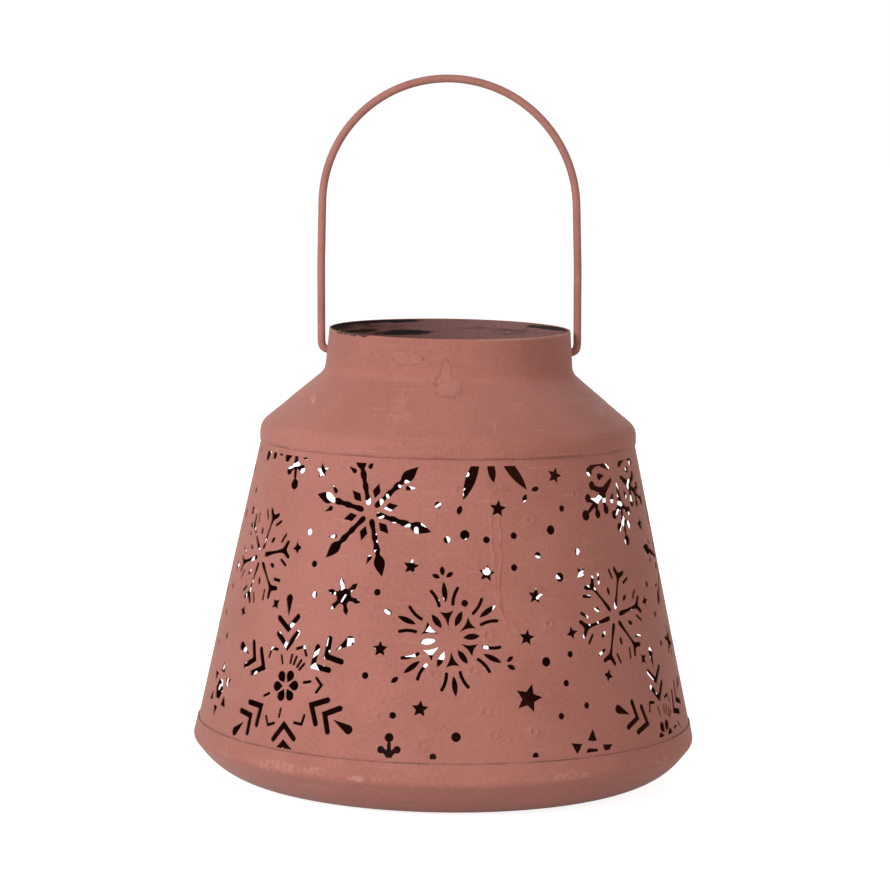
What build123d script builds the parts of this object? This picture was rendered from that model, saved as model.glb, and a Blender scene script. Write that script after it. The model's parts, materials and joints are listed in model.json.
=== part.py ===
"""Punched tin lantern: base pan, punched cone, spun shoulder with neck, wire bail and their solder."""
import os
from math import acos, atan2, cos, degrees, hypot, radians, sin, tan

from build123d import *
from build123d.topology import SkipClean

# Sheet and wire stock
SHEET = 0.5
LAP_CLEAR = 0.04
WIRE_DIAMETER = 3.6
WIRE_CLEAR = 0.3
THROUGH = 4.0

# Base pan, measured on its outer face
PAN_FLOOR_RADIUS = 101.0
PAN_FLOOR_BEND = 33.0
PAN_TAPER_ANGLE = 51.3
PAN_LIP_BEND = 4.0
PAN_EDGE_HEIGHT = 25.8
PAN_LAP = 5.0

# Punched cone, measured on its outer face
CONE_LOW_RADIUS = 112.4
CONE_LOW_HEIGHT = PAN_EDGE_HEIGHT
CONE_HIGH_RADIUS = 85.1
CONE_HIGH_HEIGHT = 153.1
CONE_TOP_LAP = 4.2
SEAM_TURN = 100.0
SEAM_LAP_WIDTH = 6.0

# Spun shoulder and neck, measured on the outer face
SKIRT_RADIUS = CONE_HIGH_RADIUS + LAP_CLEAR + SHEET
SKIRT_HEIGHT = 7.3
SHOULDER_CORNER_HEIGHT = CONE_HIGH_HEIGHT + SKIRT_HEIGHT
SHOULDER_BEND = 7.5
NECK_ROOT_RADIUS = 56.5
NECK_ROOT_HEIGHT = 184.5
NECK_ROOT_BEND = 6.0
RIM_RADIUS = 54.9
RIM_HEIGHT = 203.7

# Wire bail
PIVOT_HEIGHT = 193.6
BAIL_HALF_SPAN = 58.2
BAIL_ARCH_HEIGHT = 258.8
BAIL_BEND = 2.4
HOOK_INSET = 5.2
HOOK_LENGTH = 7.0

# Solder beads
SOLDER_GAP = 0.02
SOLDER_LEG = 1.6
SOLDER_WIDTH = 0.8
SOLDER_START = 1.2
SEAM_SOLDER_WIDTH = 1.6

# Bare borders of the punched sheet, measured along the slope
BORDER_LOW = 2.4
BORDER_HIGH = 3.6
BORDER_SEAM = 5.0
EDGE_BITE = 0.9
CLIP_SPAN = 3.0
SECTORS = 8

# Cone worked out flat: slant lengths from the apex
CONE_SLOPE = (CONE_LOW_RADIUS - CONE_HIGH_RADIUS) / (CONE_HIGH_HEIGHT - CONE_LOW_HEIGHT)
HALF_ANGLE = atan2(CONE_SLOPE, 1.0)
SIN_HALF = sin(HALF_ANGLE)
COS_HALF = cos(HALF_ANGLE)
SLANT_LOW = CONE_LOW_RADIUS / SIN_HALF
SLANT_HIGH = CONE_HIGH_RADIUS / SIN_HALF
APEX_HEIGHT = CONE_LOW_HEIGHT + SLANT_LOW * COS_HALF
WALL_ACROSS = SHEET / COS_HALF


def cone_radius(height):
    """Outer radius of the cone at a height."""
    return (APEX_HEIGHT - height) * CONE_SLOPE


def ray(length, angle):
    """Point at a length along an angle in degrees."""
    return (length * cos(radians(angle)), length * sin(radians(angle)))


# Pattern sizes, laid out on the flat sheet with x to the right and y up from the lower seam
PITCH_ANGLE = 16.0
PITCH_CENTRE = (82.2, 724.8)
PITCH_COPIES = range(-3, 2)
SLIP_CENTRE = (5.0, 65.0)
PITCH_SLIP = {-3: (0.32, 0.7, 0.7), -2: (0.32, 0.7, 0.7), -1: (0.0, 0.0, 0.0), 0: (0.0, 0.0, 0.0),
              1: (-0.6, 1.7, 1.1)}
SIX = 6
SIXTH = 360.0 / SIX

# Beaded flake: arm half widths by distance from the middle
BEADED_AT = (-33.75, 107.55, 42.0)
BEADED_ARM = ((3.2, 0.0), (3.7, 0.9), (4.9, 1.15), (8.8, 0.8), (11.3, 1.25), (13.6, 0.85), (16.6, 1.4),
              (19.0, 0.85), (20.7, 2.0), (22.6, 2.4), (24.6, 1.8), (28.3, 0.0))
BEADED_KITE = (6.6, 9.2, 12.6, 1.65)
BEADED_BARB = (4.2, 1.7)
BEADED_BARB_AT = (20.7, 13.0, 40.0)
BEADED_BARBS = ((-1,), (1, -1), (1, -1), (-1,), (-1,), ())

# Petal flake
PETAL_AT = (2.0, 53.25, 37.0)
PETAL_HORN = (5.3, 12.1, 13.4, 0.75)
HORN_SEAT = 0.75
PETAL_INNER = (9.4, 6.4, 2.2)
PETAL_OUTER = (20.1, 8.2, 1.9)
PETAL_STROKE = (15.4, 11.0, 21.9, 15.0, 0.55, 1.2)
PETAL_TIP = (29.2, 3.4, 1.7)
PETAL_SIDE = (27.4, 6.1, 62.0, 3.0, 1.5)
PETAL_TIPS = ((), (0, 1, -1), (0,), (0,), (), (0, 1))

# Arrow flake
ARROW_AT = (-74.55, 33.4, 30.0)
ARROW_HUB = (1.9, 5.15, 4.0)
ARROW_INNER = (16.8, 23.6, 14.2, 2.1)
ARROW_OUTER = (24.7, 30.4, 10.9, 2.1)
ARROW_DROP = (29.7, 10.0, 3.6)
ARROW_THIN = (19.3, 17.0, 10.2, 0.9)
ARROW_THINS = (0, 1, 3, 4, 5)
ARROW_STROKE = (11.9, 4.3, 0.8)
ARROW_STROKES = (103.5, 77.0, 65.6, 52.4, 42.8, 6.9, 197.0, 257.3)

# Forked flake: arm half widths by distance from the middle
FORK_AT = (82.95, 66.3, 19.3)
FORK_ARM = ((3.3, 0.0), (3.6, 0.8), (5.0, 1.05), (7.0, 0.95), (10.0, 0.65), (14.0, 0.62), (16.2, 0.85),
            (17.6, 1.5), (20.2, 4.1), (21.6, 3.6), (21.7, 2.9), (19.9, 0.7), (19.7, 0.0))
FORK_STAR = (26.7, 2.7, 1.15)
FORK_STAR_POINTS = 4
FORK_LENS = (11.3, 3.3, 1.6)
FORK_STROKE = (18.5, 13.0, 4.8, 0.95)
FORK_STARS = (0, 2, 3, 4, 5)

# Curled flake: stem half widths, paired lobes as along, across and radius, then bent branches to them
CURL_AT = (87.7, 130.35, 44.5)
CURL_SMALL_AT = (-23.3, -13.0, 30.0)
CURL_SMALL = 0.8
CURL_STEM = ((4.5, 0.0), (4.9, 0.8), (9.0, 1.3), (12.5, 1.6), (16.5, 1.1), (20.5, 1.05), (28.6, 0.6),
             (28.7, 0.0))
CURL_LOBES = ((17.9, 6.7, 1.85), (23.9, 4.4, 1.75))
CURL_BRANCHES = ((11.0, 16.0, 3.0, 2.2), (18.5, 22.1, 1.5, 2.0))
CURL_TIP = (30.3, 2.15)
CURL_DROP = (9.3, 5.0, 2.7)

# Leaf flake, cut by the upper border
LEAF_AT = (16.35, 140.0, 11.0)
LEAF_LONG = (18.6, 20.0, 4.1)
LEAF_SHORT = (14.4, 10.4, 3.1)
LEAF_TIP = (33.5, 3.6, 1.9)
LEAF_SIDE = (31.2, 6.0, 65.0, 3.4, 1.8)

# Flower, sun, stars and dots
FLOWER_AT = (68.45, 3.85, 30.5)
FLOWER_HUB = 4.8
FLOWER_KITE = (7.75, 8.05, 12.5, 2.3)
SUN_AT = (-45.35, 71.45, 40.0)
SUN_HUB = 3.3
SUN_RAY = ((2.4, 0.95), (4.6, 0.65), (6.4, 0.98), (8.1, 0.0))
STAR_POINTS = 5
STAR_WAIST = 0.45
STARS = ((-58.6, 126.4, 3.3, 90.0), (-15.0, 84.0, 3.2, 80.0), (17.5, 81.5, 3.4, 84.0),
         (48.8, 125.2, 3.5, 78.0), (22.1, 109.4, 3.5, 85.0), (39.6, 72.6, 3.3, 86.0),
         (35.7, 54.6, 3.3, 84.0), (36.9, 28.8, 6.1, 78.0), (-28.0, 48.8, 3.2, 88.0),
         (-10.2, 23.5, 3.4, 85.0))
DOT_SMALL = 1.25
DOT_LARGE = 1.85
DOTS_SMALL = ((-64.6, 100.0), (-61.0, 85.9), (-60.3, 72.6), (-29.7, 73.0), (-3.9, 110.4), (0.2, 95.6),
              (17.2, 95.9), (29.3, 98.1), (52.5, 111.1), (40.5, 90.2), (29.6, 84.4), (60.9, 92.9),
              (8.2, 68.6), (56.8, 48.3), (54.8, 35.8), (65.3, 26.6), (52.4, 21.6), (-34.5, 37.5),
              (-21.9, 20.6), (40.3, 4.5), (-4.4, 3.3))
DOTS_LARGE = ((7.8, 97.8), (46.8, 101.4), (51.4, 81.3), (44.9, 44.6), (5.3, 11.8))

# Own shifts of single flakes of the hand-laid sheet, by flake and copy
OWN_SHIFT = {(PETAL_AT, -2): (-3.0, -1.75), (FLOWER_AT, -2): (-1.2, -2.6), (PETAL_AT, -1): (0.75, -1.0),
             (ARROW_AT, -1): (-1.75, -0.75), (CURL_AT, -1): (1.5, 0.25), (FORK_AT, -1): (0.5, 0.25),
             (FLOWER_AT, -1): (2.4, -1.05), (BEADED_AT, 1): (0.5, 0.25)}
NO_SHIFT = (0.0, 0.0)

holes = []


def add_hole(shape, size, middle, along, across, angle):
    """Note one hole of a flake: its outline, its place from the flake's middle and its own turn."""
    x, y, turn, factor = middle
    reach = hypot(along, across) * factor
    place = ray(reach, degrees(atan2(across, along)) + turn)
    holes.append((shape, size, factor, x + place[0], y + place[1], angle + turn))


def spoke(shape, size, middle, along, spin, across=0.0, lean=0.0):
    """Note one hole on a spoke of a flake that points at the angle spin."""
    reach = hypot(along, across)
    place = ray(reach, degrees(atan2(across, along)) + spin)
    add_hole(shape, size, middle, place[0], place[1], spin + lean)


def beaded_flake(middle):
    """Six beaded arms with spear tips, kites between them and barbs by the tips."""
    for k in range(SIX):
        spin = k * SIXTH
        spoke("arm", BEADED_ARM, middle, BEADED_ARM[-1][0] / 2, spin)
        near, widest, far, half = BEADED_KITE
        spoke("kite", BEADED_KITE, middle, (near + far) / 2, spin + SIXTH / 2)
        reach, swing, lean = BEADED_BARB_AT
        for side in BEADED_BARBS[k]:
            along, across = ray(reach, side * swing)
            spoke("barb", BEADED_BARB, middle, along, spin, across, side * lean)


def petal_flake(middle):
    """A ring of horned triangles and lenses inside six sprays."""
    for k in range(SIX):
        spin = k * SIXTH
        spoke("horn", PETAL_HORN, middle, PETAL_HORN[1] * HORN_SEAT, spin)
        spoke("lens", PETAL_INNER[1:], middle, PETAL_INNER[0], spin + SIXTH / 2)
        spoke("lens", PETAL_OUTER[1:], middle, PETAL_OUTER[0], spin)
        near, near_swing, far, far_swing, bow, width = PETAL_STROKE
        for side in (1, -1):
            first = ray(near, side * near_swing)
            last = ray(far, side * far_swing)
            lean = degrees(atan2(last[1] - first[1], last[0] - first[0]))
            length = hypot(last[0] - first[0], last[1] - first[1])
            spoke("bow", (length, width, -side * bow), middle, (first[0] + last[0]) / 2, spin,
                  (first[1] + last[1]) / 2, lean)
        for tip in PETAL_TIPS[k]:
            if tip == 0:
                spoke("lens", PETAL_TIP[1:], middle, PETAL_TIP[0], spin)
            else:
                along, across = ray(PETAL_SIDE[0], tip * PETAL_SIDE[1])
                spoke("lens", PETAL_SIDE[3:], middle, along, spin, across, tip * PETAL_SIDE[2])


def arrow_flake(middle):
    """Six arms of two arrows and a drop, a hub of six drops and thin strokes between."""
    for k in range(SIX):
        spin = k * SIXTH
        near, length, width = ARROW_HUB
        spoke("drop", (length, width), middle, near + length / 2, spin + SIXTH / 2)
        spoke("arrow", ARROW_INNER, middle, ARROW_INNER[0], spin)
        spoke("arrow", ARROW_OUTER, middle, ARROW_OUTER[0], spin)
        near, length, width = ARROW_DROP
        spoke("drop", (length, width), middle, near + length / 2, spin)
        if k in ARROW_THINS:
            spoke("arrow", ARROW_THIN, middle, ARROW_THIN[0], spin + SIXTH / 2)
    for spin in ARROW_STROKES:
        spoke("slot", ARROW_STROKE[1:], middle, ARROW_STROKE[0], spin - ARROW_AT[2])


def fork_flake(middle):
    """Six forked arms with a small star beyond each, lenses and strokes between."""
    for k in range(SIX):
        spin = k * SIXTH
        spoke("arm", FORK_ARM, middle, FORK_ARM[-1][0] / 2, spin)
        if k in FORK_STARS:
            spoke("star", (FORK_STAR[1], FORK_STAR[2], FORK_STAR_POINTS), middle, FORK_STAR[0], spin)
        spoke("lens", FORK_LENS[1:], middle, FORK_LENS[0], spin + SIXTH / 2)
        reach, swing, length, width = FORK_STROKE
        for side in (1, -1):
            along, across = ray(reach, side * swing)
            spoke("slot", (length, width), middle, along, spin + SIXTH / 2, across, -side * swing)


def curl_flake(middle):
    """Six stems with paired round lobes and a drop between each two."""
    for k in range(SIX):
        spin = k * SIXTH
        spoke("curl", (), middle, CURL_STEM[-1][0] / 2, spin)
        near, length, width = CURL_DROP
        spoke("drop", (length, width), middle, near + length / 2, spin + SIXTH / 2)


def leaf_flake(middle):
    """Long and short leaves by turns with a spray of small leaves at each long tip."""
    for k in range(SIX):
        spin = k * SIXTH
        spoke("lens", LEAF_LONG[1:], middle, LEAF_LONG[0], spin)
        spoke("lens", LEAF_SHORT[1:], middle, LEAF_SHORT[0], spin + SIXTH / 2)
        if k % 2 == 0:
            spoke("lens", LEAF_TIP[1:], middle, LEAF_TIP[0], spin)
        else:
            for side in (1, -1):
                along, across = ray(LEAF_SIDE[0], side * LEAF_SIDE[1])
                spoke("lens", LEAF_SIDE[3:], middle, along, spin, across, side * LEAF_SIDE[2])


def flower(middle):
    """A six-sided hub inside six pointed petals."""
    spoke("star", (FLOWER_HUB, FLOWER_HUB, SIX // 2), middle, 0.0, SIXTH / 2)
    near, widest, far, half = FLOWER_KITE
    for k in range(SIX):
        spoke("kite", FLOWER_KITE, middle, (near + far) / 2, k * SIXTH)


def swung(place, centre, angle):
    """A place swung about a centre by an angle."""
    x, y = place[0] - centre[0], place[1] - centre[1]
    moved = ray(hypot(x, y), degrees(atan2(y, x)) + angle)
    return (moved[0] + centre[0], moved[1] + centre[1])


def middle_of(place, copy, factor=1.0):
    """Middle, turn and size factor of one copy of a flake, with its slip and own shift."""
    lean, left, down = PITCH_SLIP[copy]
    slipped = swung((place[0] - left, place[1] - down), SLIP_CENTRE, lean)
    x, y = swung(slipped, PITCH_CENTRE, copy * PITCH_ANGLE)
    shift = OWN_SHIFT.get((place, copy), NO_SHIFT)
    return (x + shift[0], y + shift[1], place[2] + lean + copy * PITCH_ANGLE, factor)


for copy in PITCH_COPIES:
    beaded_flake(middle_of(BEADED_AT, copy))
    petal_flake(middle_of(PETAL_AT, copy))
    arrow_flake(middle_of(ARROW_AT, copy))
    fork_flake(middle_of(FORK_AT, copy))
    curl_flake(middle_of(CURL_AT, copy))
    curl_flake(middle_of(CURL_SMALL_AT, copy, CURL_SMALL))
    leaf_flake(middle_of(LEAF_AT, copy))
    flower(middle_of(FLOWER_AT, copy))
    spoke("sun", (), middle_of(SUN_AT, copy), 0.0, 0.0)
    for x, y, reach, turn in STARS:
        spoke("star", (reach, reach * STAR_WAIST, STAR_POINTS), middle_of((x, y, turn), copy), 0.0, 0.0)
    for radius, places in ((DOT_SMALL, DOTS_SMALL), (DOT_LARGE, DOTS_LARGE)):
        for x, y in places:
            spoke("dot", (radius,), middle_of((x, y, 0.0), copy), 0.0, 0.0)


def sheet_place(x, y):
    """Slant length from the apex and turn about the axis in degrees of a place on the flat sheet."""
    slant = hypot(x, SLANT_LOW - y)
    return (slant, degrees(atan2(x, SLANT_LOW - y)) / SIN_HALF)


def hole_plane(slant, turn):
    """Plane that touches the cone at a slant length and turn, with its y along the slope."""
    t = radians(turn)
    radius = slant * SIN_HALF
    spot = (radius * sin(t), -radius * cos(t), APEX_HEIGHT - slant * COS_HALF)
    outward = (sin(t) * COS_HALF, -cos(t) * COS_HALF, SIN_HALF)
    return Plane(origin=spot, x_dir=(cos(t), sin(t), 0.0), z_dir=outward)


def mirrored(half_widths, shift):
    """Closed outline from half widths along a spoke."""
    upper = [(along - shift, half) for along, half in half_widths]
    lower = [(along - shift, -half) for along, half in reversed(half_widths) if half > 0.0]
    return upper + lower


def star_outline(reach, waist, points):
    """Outline of a star."""
    step = 180.0 / points
    return [ray(reach if k % 2 == 0 else waist, k * step) for k in range(2 * points)]


def draw_polygon(outline):
    """Face inside straight sides."""
    with BuildLine() as outline_wire:
        Polyline(*outline, close=True)
    make_face(outline_wire.edges())


def draw_lens(length, width):
    """Face between two arcs."""
    ends = ((-length / 2, 0.0), (length / 2, 0.0))
    with BuildLine() as outline_wire:
        ThreePointArc(ends[0], (0.0, width / 2), ends[1])
        ThreePointArc(ends[1], (0.0, -width / 2), ends[0])
    make_face(outline_wire.edges())


def draw_drop(length, width, tail=1.0):
    """Face with a point at one end and a round at the other."""
    radius = width / 2
    reach = length - radius
    touch = degrees(acos(radius / reach))
    start = -length / 2
    upper = ray(radius, 180.0 - touch)
    points = [(tail * (start + reach + upper[0]), side * upper[1]) for side in (1, -1)]
    with BuildLine() as outline_wire:
        Line((tail * start, 0.0), points[0])
        ThreePointArc(points[0], (tail * (start + length), 0.0), points[1])
        Line(points[1], (tail * start, 0.0))
    make_face(outline_wire.edges())


def draw_arrow(apex, end, swing, width):
    """Face of two straight limbs that meet at a point."""
    tip = ray(end, swing)
    limb = atan2(tip[1], tip[0] - apex)
    mitre = width / 2 / sin(limb)
    mitre = max(min(mitre, width), -width)
    along, across = cos(limb), sin(limb)
    x, y = tip[0] - apex, tip[1]
    outer = (x - across * width / 2, y + along * width / 2)
    inner = (x + across * width / 2, y - along * width / 2)
    cap = (x + along * width / 2, y + across * width / 2)
    with BuildLine() as outline_wire:
        Line((-mitre, 0.0), outer)
        ThreePointArc(outer, cap, inner)
        Line(inner, (mitre, 0.0))
        Line((mitre, 0.0), (inner[0], -inner[1]))
        ThreePointArc((inner[0], -inner[1]), (cap[0], -cap[1]), (outer[0], -outer[1]))
        Line((outer[0], -outer[1]), (-mitre, 0.0))
    make_face(outline_wire.edges())


def draw_horn(inner, outer, swing, sag):
    """Face of three arcs that bow inward."""
    shift = outer * HORN_SEAT
    corners = [(inner - shift, 0.0)]
    for side in (-1, 1):
        x, y = ray(outer, side * swing)
        corners.append((x - shift, y))
    middle = (sum(c[0] for c in corners) / 3, sum(c[1] for c in corners) / 3)
    with BuildLine() as outline_wire:
        for k in range(3):
            first, last = corners[k], corners[(k + 1) % 3]
            half = ((first[0] + last[0]) / 2, (first[1] + last[1]) / 2)
            away = hypot(middle[0] - half[0], middle[1] - half[1])
            bowed = tuple(half[i] + (middle[i] - half[i]) * sag / away for i in (0, 1))
            ThreePointArc(first, bowed, last)
    make_face(outline_wire.edges())


def draw_bow(length, width, bow):
    """Face of a bent stroke with pointed ends."""
    ends = ((-length / 2, 0.0), (length / 2, 0.0))
    with BuildLine() as outline_wire:
        ThreePointArc(ends[0], (0.0, bow + width / 2), ends[1])
        ThreePointArc(ends[1], (0.0, bow - width / 2), ends[0])
    make_face(outline_wire.edges())


def draw_branch(root, middle, tip, width):
    """Face of a bent limb between two arcs."""
    ways = []
    for first, last in ((root, middle), (root, tip), (middle, tip)):
        step = width / 2 / hypot(last[0] - first[0], last[1] - first[1])
        ways.append(((first[1] - last[1]) * step, (last[0] - first[0]) * step))
    left = [(p[0] + w[0], p[1] + w[1]) for p, w in zip((root, middle, tip), ways)]
    right = [(p[0] - w[0], p[1] - w[1]) for p, w in zip((root, middle, tip), ways)]
    with BuildLine() as outline_wire:
        ThreePointArc(left[0], left[1], left[2])
        Line(left[2], right[2])
        ThreePointArc(right[2], right[1], right[0])
        Line(right[0], left[0])
    make_face(outline_wire.edges())


def draw_curl():
    """Face of one stem with its branches and lobes."""
    shift = CURL_STEM[-1][0] / 2
    draw_polygon(mirrored(CURL_STEM, shift))
    with Locations((CURL_TIP[0] - shift, 0.0)):
        Circle(CURL_TIP[1])
    for (along, across, radius), (root, bend_along, bend_across, width) in zip(CURL_LOBES, CURL_BRANCHES):
        for side in (1, -1):
            tip = (along - shift, side * across)
            with Locations(tip):
                Circle(radius)
            draw_branch((root - shift, 0.0), (bend_along - shift, side * bend_across), tip, width)


def draw_sun():
    """Face of a round hub with six rays."""
    Circle(SUN_HUB)
    for k in range(SIX):
        with BuildSketch(mode=Mode.PRIVATE) as one_ray:
            draw_polygon(mirrored(SUN_RAY, 0.0))
        add(one_ray.sketch.rotate(Axis.Z, k * SIXTH))


def draw_hole(shape, size):
    """Draw one outline of the pattern."""
    if shape == "arm":
        draw_polygon(mirrored(size, size[-1][0] / 2))
    elif shape == "kite":
        near, widest, far, half = size
        shift = (near + far) / 2
        flank = widest - shift
        draw_polygon([(near - shift, 0.0), (flank, -half), (far - shift, 0.0), (flank, half)])
    elif shape == "barb":
        draw_drop(size[0], size[1], -1.0)
    elif shape == "drop":
        draw_drop(*size)
    elif shape == "lens":
        draw_lens(*size)
    elif shape == "bow":
        draw_bow(*size)
    elif shape == "slot":
        SlotOverall(*size)
    elif shape == "star":
        draw_polygon(star_outline(*size))
    elif shape == "arrow":
        draw_arrow(*size)
    elif shape == "horn":
        draw_horn(*size)
    elif shape == "curl":
        draw_curl()
    elif shape == "sun":
        draw_sun()
    else:
        Circle(size[0])


def side_plane(turn):
    """Upright plane through the axis that faces along a turn from the front."""
    t = radians(turn)
    return Plane(origin=(0.0, 0.0, 0.0), x_dir=(sin(t), -cos(t), 0.0), z_dir=(-cos(t), -sin(t), 0.0))


def wall_profile(low, high, inset=0.0):
    """Slice of the cone's wall between two heights, moved inward by an inset."""
    shift = inset * WALL_ACROSS
    outer = [(cone_radius(low) - shift, low), (cone_radius(high) - shift, high)]
    inner = [(radius - WALL_ACROSS, height) for radius, height in reversed(outer)]
    draw_polygon(outer + inner)


BAND_LOW = SLANT_LOW - BORDER_LOW
BAND_HIGH = SLANT_HIGH + BORDER_HIGH
SEAM_HALF_TURN = degrees(BORDER_SEAM / CONE_HIGH_RADIUS)
LAP_TURN = degrees(SEAM_LAP_WIDTH / CONE_HIGH_RADIUS)
SEAM_SOLDER_TURN = degrees(SEAM_SOLDER_WIDTH / CONE_HIGH_RADIUS)
CONE_BOTTOM = PAN_EDGE_HEIGHT - PAN_LAP
CONE_TOP = CONE_HIGH_HEIGHT + CONE_TOP_LAP

SECTOR_TURN = 360.0 / SECTORS
BAND_START = SEAM_TURN - 360.0 + SEAM_HALF_TURN
BAND_END = SEAM_TURN - SEAM_HALF_TURN


def hole_outline(shape, size, factor, lean):
    """Outline of one hole, sized and turned as it lies on the slope."""
    with BuildSketch(mode=Mode.PRIVATE) as outline:
        draw_hole(shape, size)
    return outline.sketch.scale(factor).rotate(Axis.Z, lean)


def sector_holes(start):
    """Prisms of the holes that reach into one sector of the cone."""
    prisms = []
    for shape, size, factor, x, y, angle in holes:
        slant, turn = sheet_place(x, y)
        if not start - SECTOR_TURN < turn < start + 2 * SECTOR_TURN:
            continue
        outline = hole_outline(shape, size, factor, angle - turn * SIN_HALF)
        box = outline.bounding_box()
        spread = degrees(max(box.max.X, -box.min.X) / (slant * SIN_HALF))
        up = slant - BAND_HIGH
        down = BAND_LOW - slant
        if turn - spread < BAND_START or turn + spread > BAND_END:
            continue
        if turn + spread < start or turn - spread > start + SECTOR_TURN:
            continue
        if box.max.Y < EDGE_BITE - down or box.min.Y > up - EDGE_BITE:
            continue
        with BuildSketch(hole_plane(slant, turn)) as cut:
            add(outline)
            if box.max.Y > up or box.min.Y < -down:
                with Locations((0.0, (up - down) / 2)):
                    Rectangle(box.size.X * CLIP_SPAN, up + down, mode=Mode.INTERSECT)
        prisms.append(extrude(cut.sketch, amount=THROUGH, both=True, mode=Mode.PRIVATE))
    return prisms


# Punched cone: sectors pierced one by one and joined into one sheet, with the lap of its upright seam
pierced = []
for k in range(SECTORS):
    sector_start = SEAM_TURN - 360.0 + (k - 0.5) * SECTOR_TURN
    with BuildPart() as sector:
        with BuildSketch(side_plane(sector_start)):
            wall_profile(CONE_BOTTOM, CONE_TOP)
        revolve(axis=Axis.Z, revolution_arc=SECTOR_TURN)
        if k == 0:
            with BuildSketch(side_plane(SEAM_TURN - LAP_TURN / 2)):
                wall_profile(CONE_BOTTOM, CONE_TOP, 1.0)
            revolve(axis=Axis.Z, revolution_arc=LAP_TURN)
        for start in (sector_start, sector_start + 360.0):
            punches = sector_holes(start)
            if punches:
                add(punches, mode=Mode.SUBTRACT, clean=False)
    pierced.extend(sector.solids())
with SkipClean():
    punched_sheet = pierced[0].fuse(*pierced[1:], glue=True)
with BuildPart() as punched_body:
    add(punched_sheet, clean=False)

# Base pan: shallow dish whose collar laps outside the cone's lower edge
COLLAR_OFFSET = (LAP_CLEAR + SHEET) / COS_HALF
COLLAR_AT_FLOOR = cone_radius(0.0) + COLLAR_OFFSET
TAPER = tan(radians(PAN_TAPER_ANGLE))
LIP_HEIGHT = (COLLAR_AT_FLOOR - PAN_FLOOR_RADIUS) * TAPER / (1.0 + CONE_SLOPE * TAPER)
LIP_RADIUS = cone_radius(LIP_HEIGHT) + COLLAR_OFFSET
with BuildPart() as base_pan:
    with BuildSketch(Plane.XZ) as pan_profile:
        draw_polygon([(0.0, 0.0), (PAN_FLOOR_RADIUS, 0.0), (LIP_RADIUS, LIP_HEIGHT),
                      (cone_radius(PAN_EDGE_HEIGHT) + COLLAR_OFFSET, PAN_EDGE_HEIGHT),
                      (0.0, PAN_EDGE_HEIGHT)])
        pan_corners = pan_profile.vertices().sort_by(Axis.X)
        fillet(pan_corners[-1], radius=PAN_LIP_BEND)
        floor_corner = (PAN_FLOOR_RADIUS, 0.0, 0.0)
        fillet(pan_profile.vertices().sort_by_distance(floor_corner)[0], radius=PAN_FLOOR_BEND)
    revolve(axis=Axis.Z)
    offset(amount=-SHEET, openings=base_pan.faces().sort_by(Axis.Z)[-1])

# Spun shoulder and neck with the two pivot holes
NECK_TAPER = (NECK_ROOT_RADIUS - RIM_RADIUS) / (RIM_HEIGHT - NECK_ROOT_HEIGHT)
NECK_AT_PIVOT = RIM_RADIUS + NECK_TAPER * (RIM_HEIGHT - PIVOT_HEIGHT)
with BuildPart() as shoulder_neck:
    with BuildSketch(Plane.XZ) as shoulder_profile:
        draw_polygon([(0.0, CONE_HIGH_HEIGHT), (SKIRT_RADIUS, CONE_HIGH_HEIGHT),
                      (SKIRT_RADIUS, SHOULDER_CORNER_HEIGHT), (NECK_ROOT_RADIUS, NECK_ROOT_HEIGHT),
                      (RIM_RADIUS, RIM_HEIGHT), (0.0, RIM_HEIGHT)])
        corner = (SKIRT_RADIUS, SHOULDER_CORNER_HEIGHT, 0.0)
        fillet(shoulder_profile.vertices().sort_by_distance(corner)[0], radius=SHOULDER_BEND)
        root = (NECK_ROOT_RADIUS, NECK_ROOT_HEIGHT, 0.0)
        fillet(shoulder_profile.vertices().sort_by_distance(root)[0], radius=NECK_ROOT_BEND)
    revolve(axis=Axis.Z)
    ends = shoulder_neck.faces().sort_by(Axis.Z)
    offset(amount=-SHEET, openings=[ends[0], ends[-1]])
    with Locations((0.0, 0.0, PIVOT_HEIGHT)):
        Cylinder(WIRE_DIAMETER / 2 + WIRE_CLEAR, 2 * BAIL_HALF_SPAN + WIRE_DIAMETER,
                 rotation=(0.0, 90.0, 0.0), mode=Mode.SUBTRACT)

# Wire bail: arch, two legs, pins through the neck and hooked ends inside
HOOK_PLACE = NECK_AT_PIVOT - SHEET - HOOK_INSET
HOOK_TOP = PIVOT_HEIGHT + HOOK_LENGTH
with BuildPart() as bail_handle:
    with BuildLine(Plane.XZ) as wire_path:
        FilletPolyline((-HOOK_PLACE, HOOK_TOP), (-HOOK_PLACE, PIVOT_HEIGHT), (-BAIL_HALF_SPAN, PIVOT_HEIGHT),
                       (-BAIL_HALF_SPAN, BAIL_ARCH_HEIGHT), radius=BAIL_BEND)
        ThreePointArc((-BAIL_HALF_SPAN, BAIL_ARCH_HEIGHT), (0.0, BAIL_ARCH_HEIGHT + BAIL_HALF_SPAN),
                      (BAIL_HALF_SPAN, BAIL_ARCH_HEIGHT))
        FilletPolyline((BAIL_HALF_SPAN, BAIL_ARCH_HEIGHT), (BAIL_HALF_SPAN, PIVOT_HEIGHT),
                       (HOOK_PLACE, PIVOT_HEIGHT), (HOOK_PLACE, HOOK_TOP), radius=BAIL_BEND)
    with BuildSketch(Plane(origin=(-HOOK_PLACE, 0.0, HOOK_TOP), z_dir=(0.0, 0.0, -1.0))):
        Circle(WIRE_DIAMETER / 2)
    sweep(path=wire_path.wire())

# Solder beads of the three seams
with BuildPart() as lower_seam_solder:
    with BuildSketch(Plane.XZ):
        top = CONE_BOTTOM - SOLDER_GAP
        low = top - SOLDER_LEG
        reach = LAP_CLEAR / COS_HALF - SOLDER_GAP
        draw_polygon([(cone_radius(top) + reach, top), (cone_radius(top) - WALL_ACROSS - SOLDER_WIDTH, top),
                      (cone_radius(low) + reach, low)])
    revolve(axis=Axis.Z)

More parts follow.
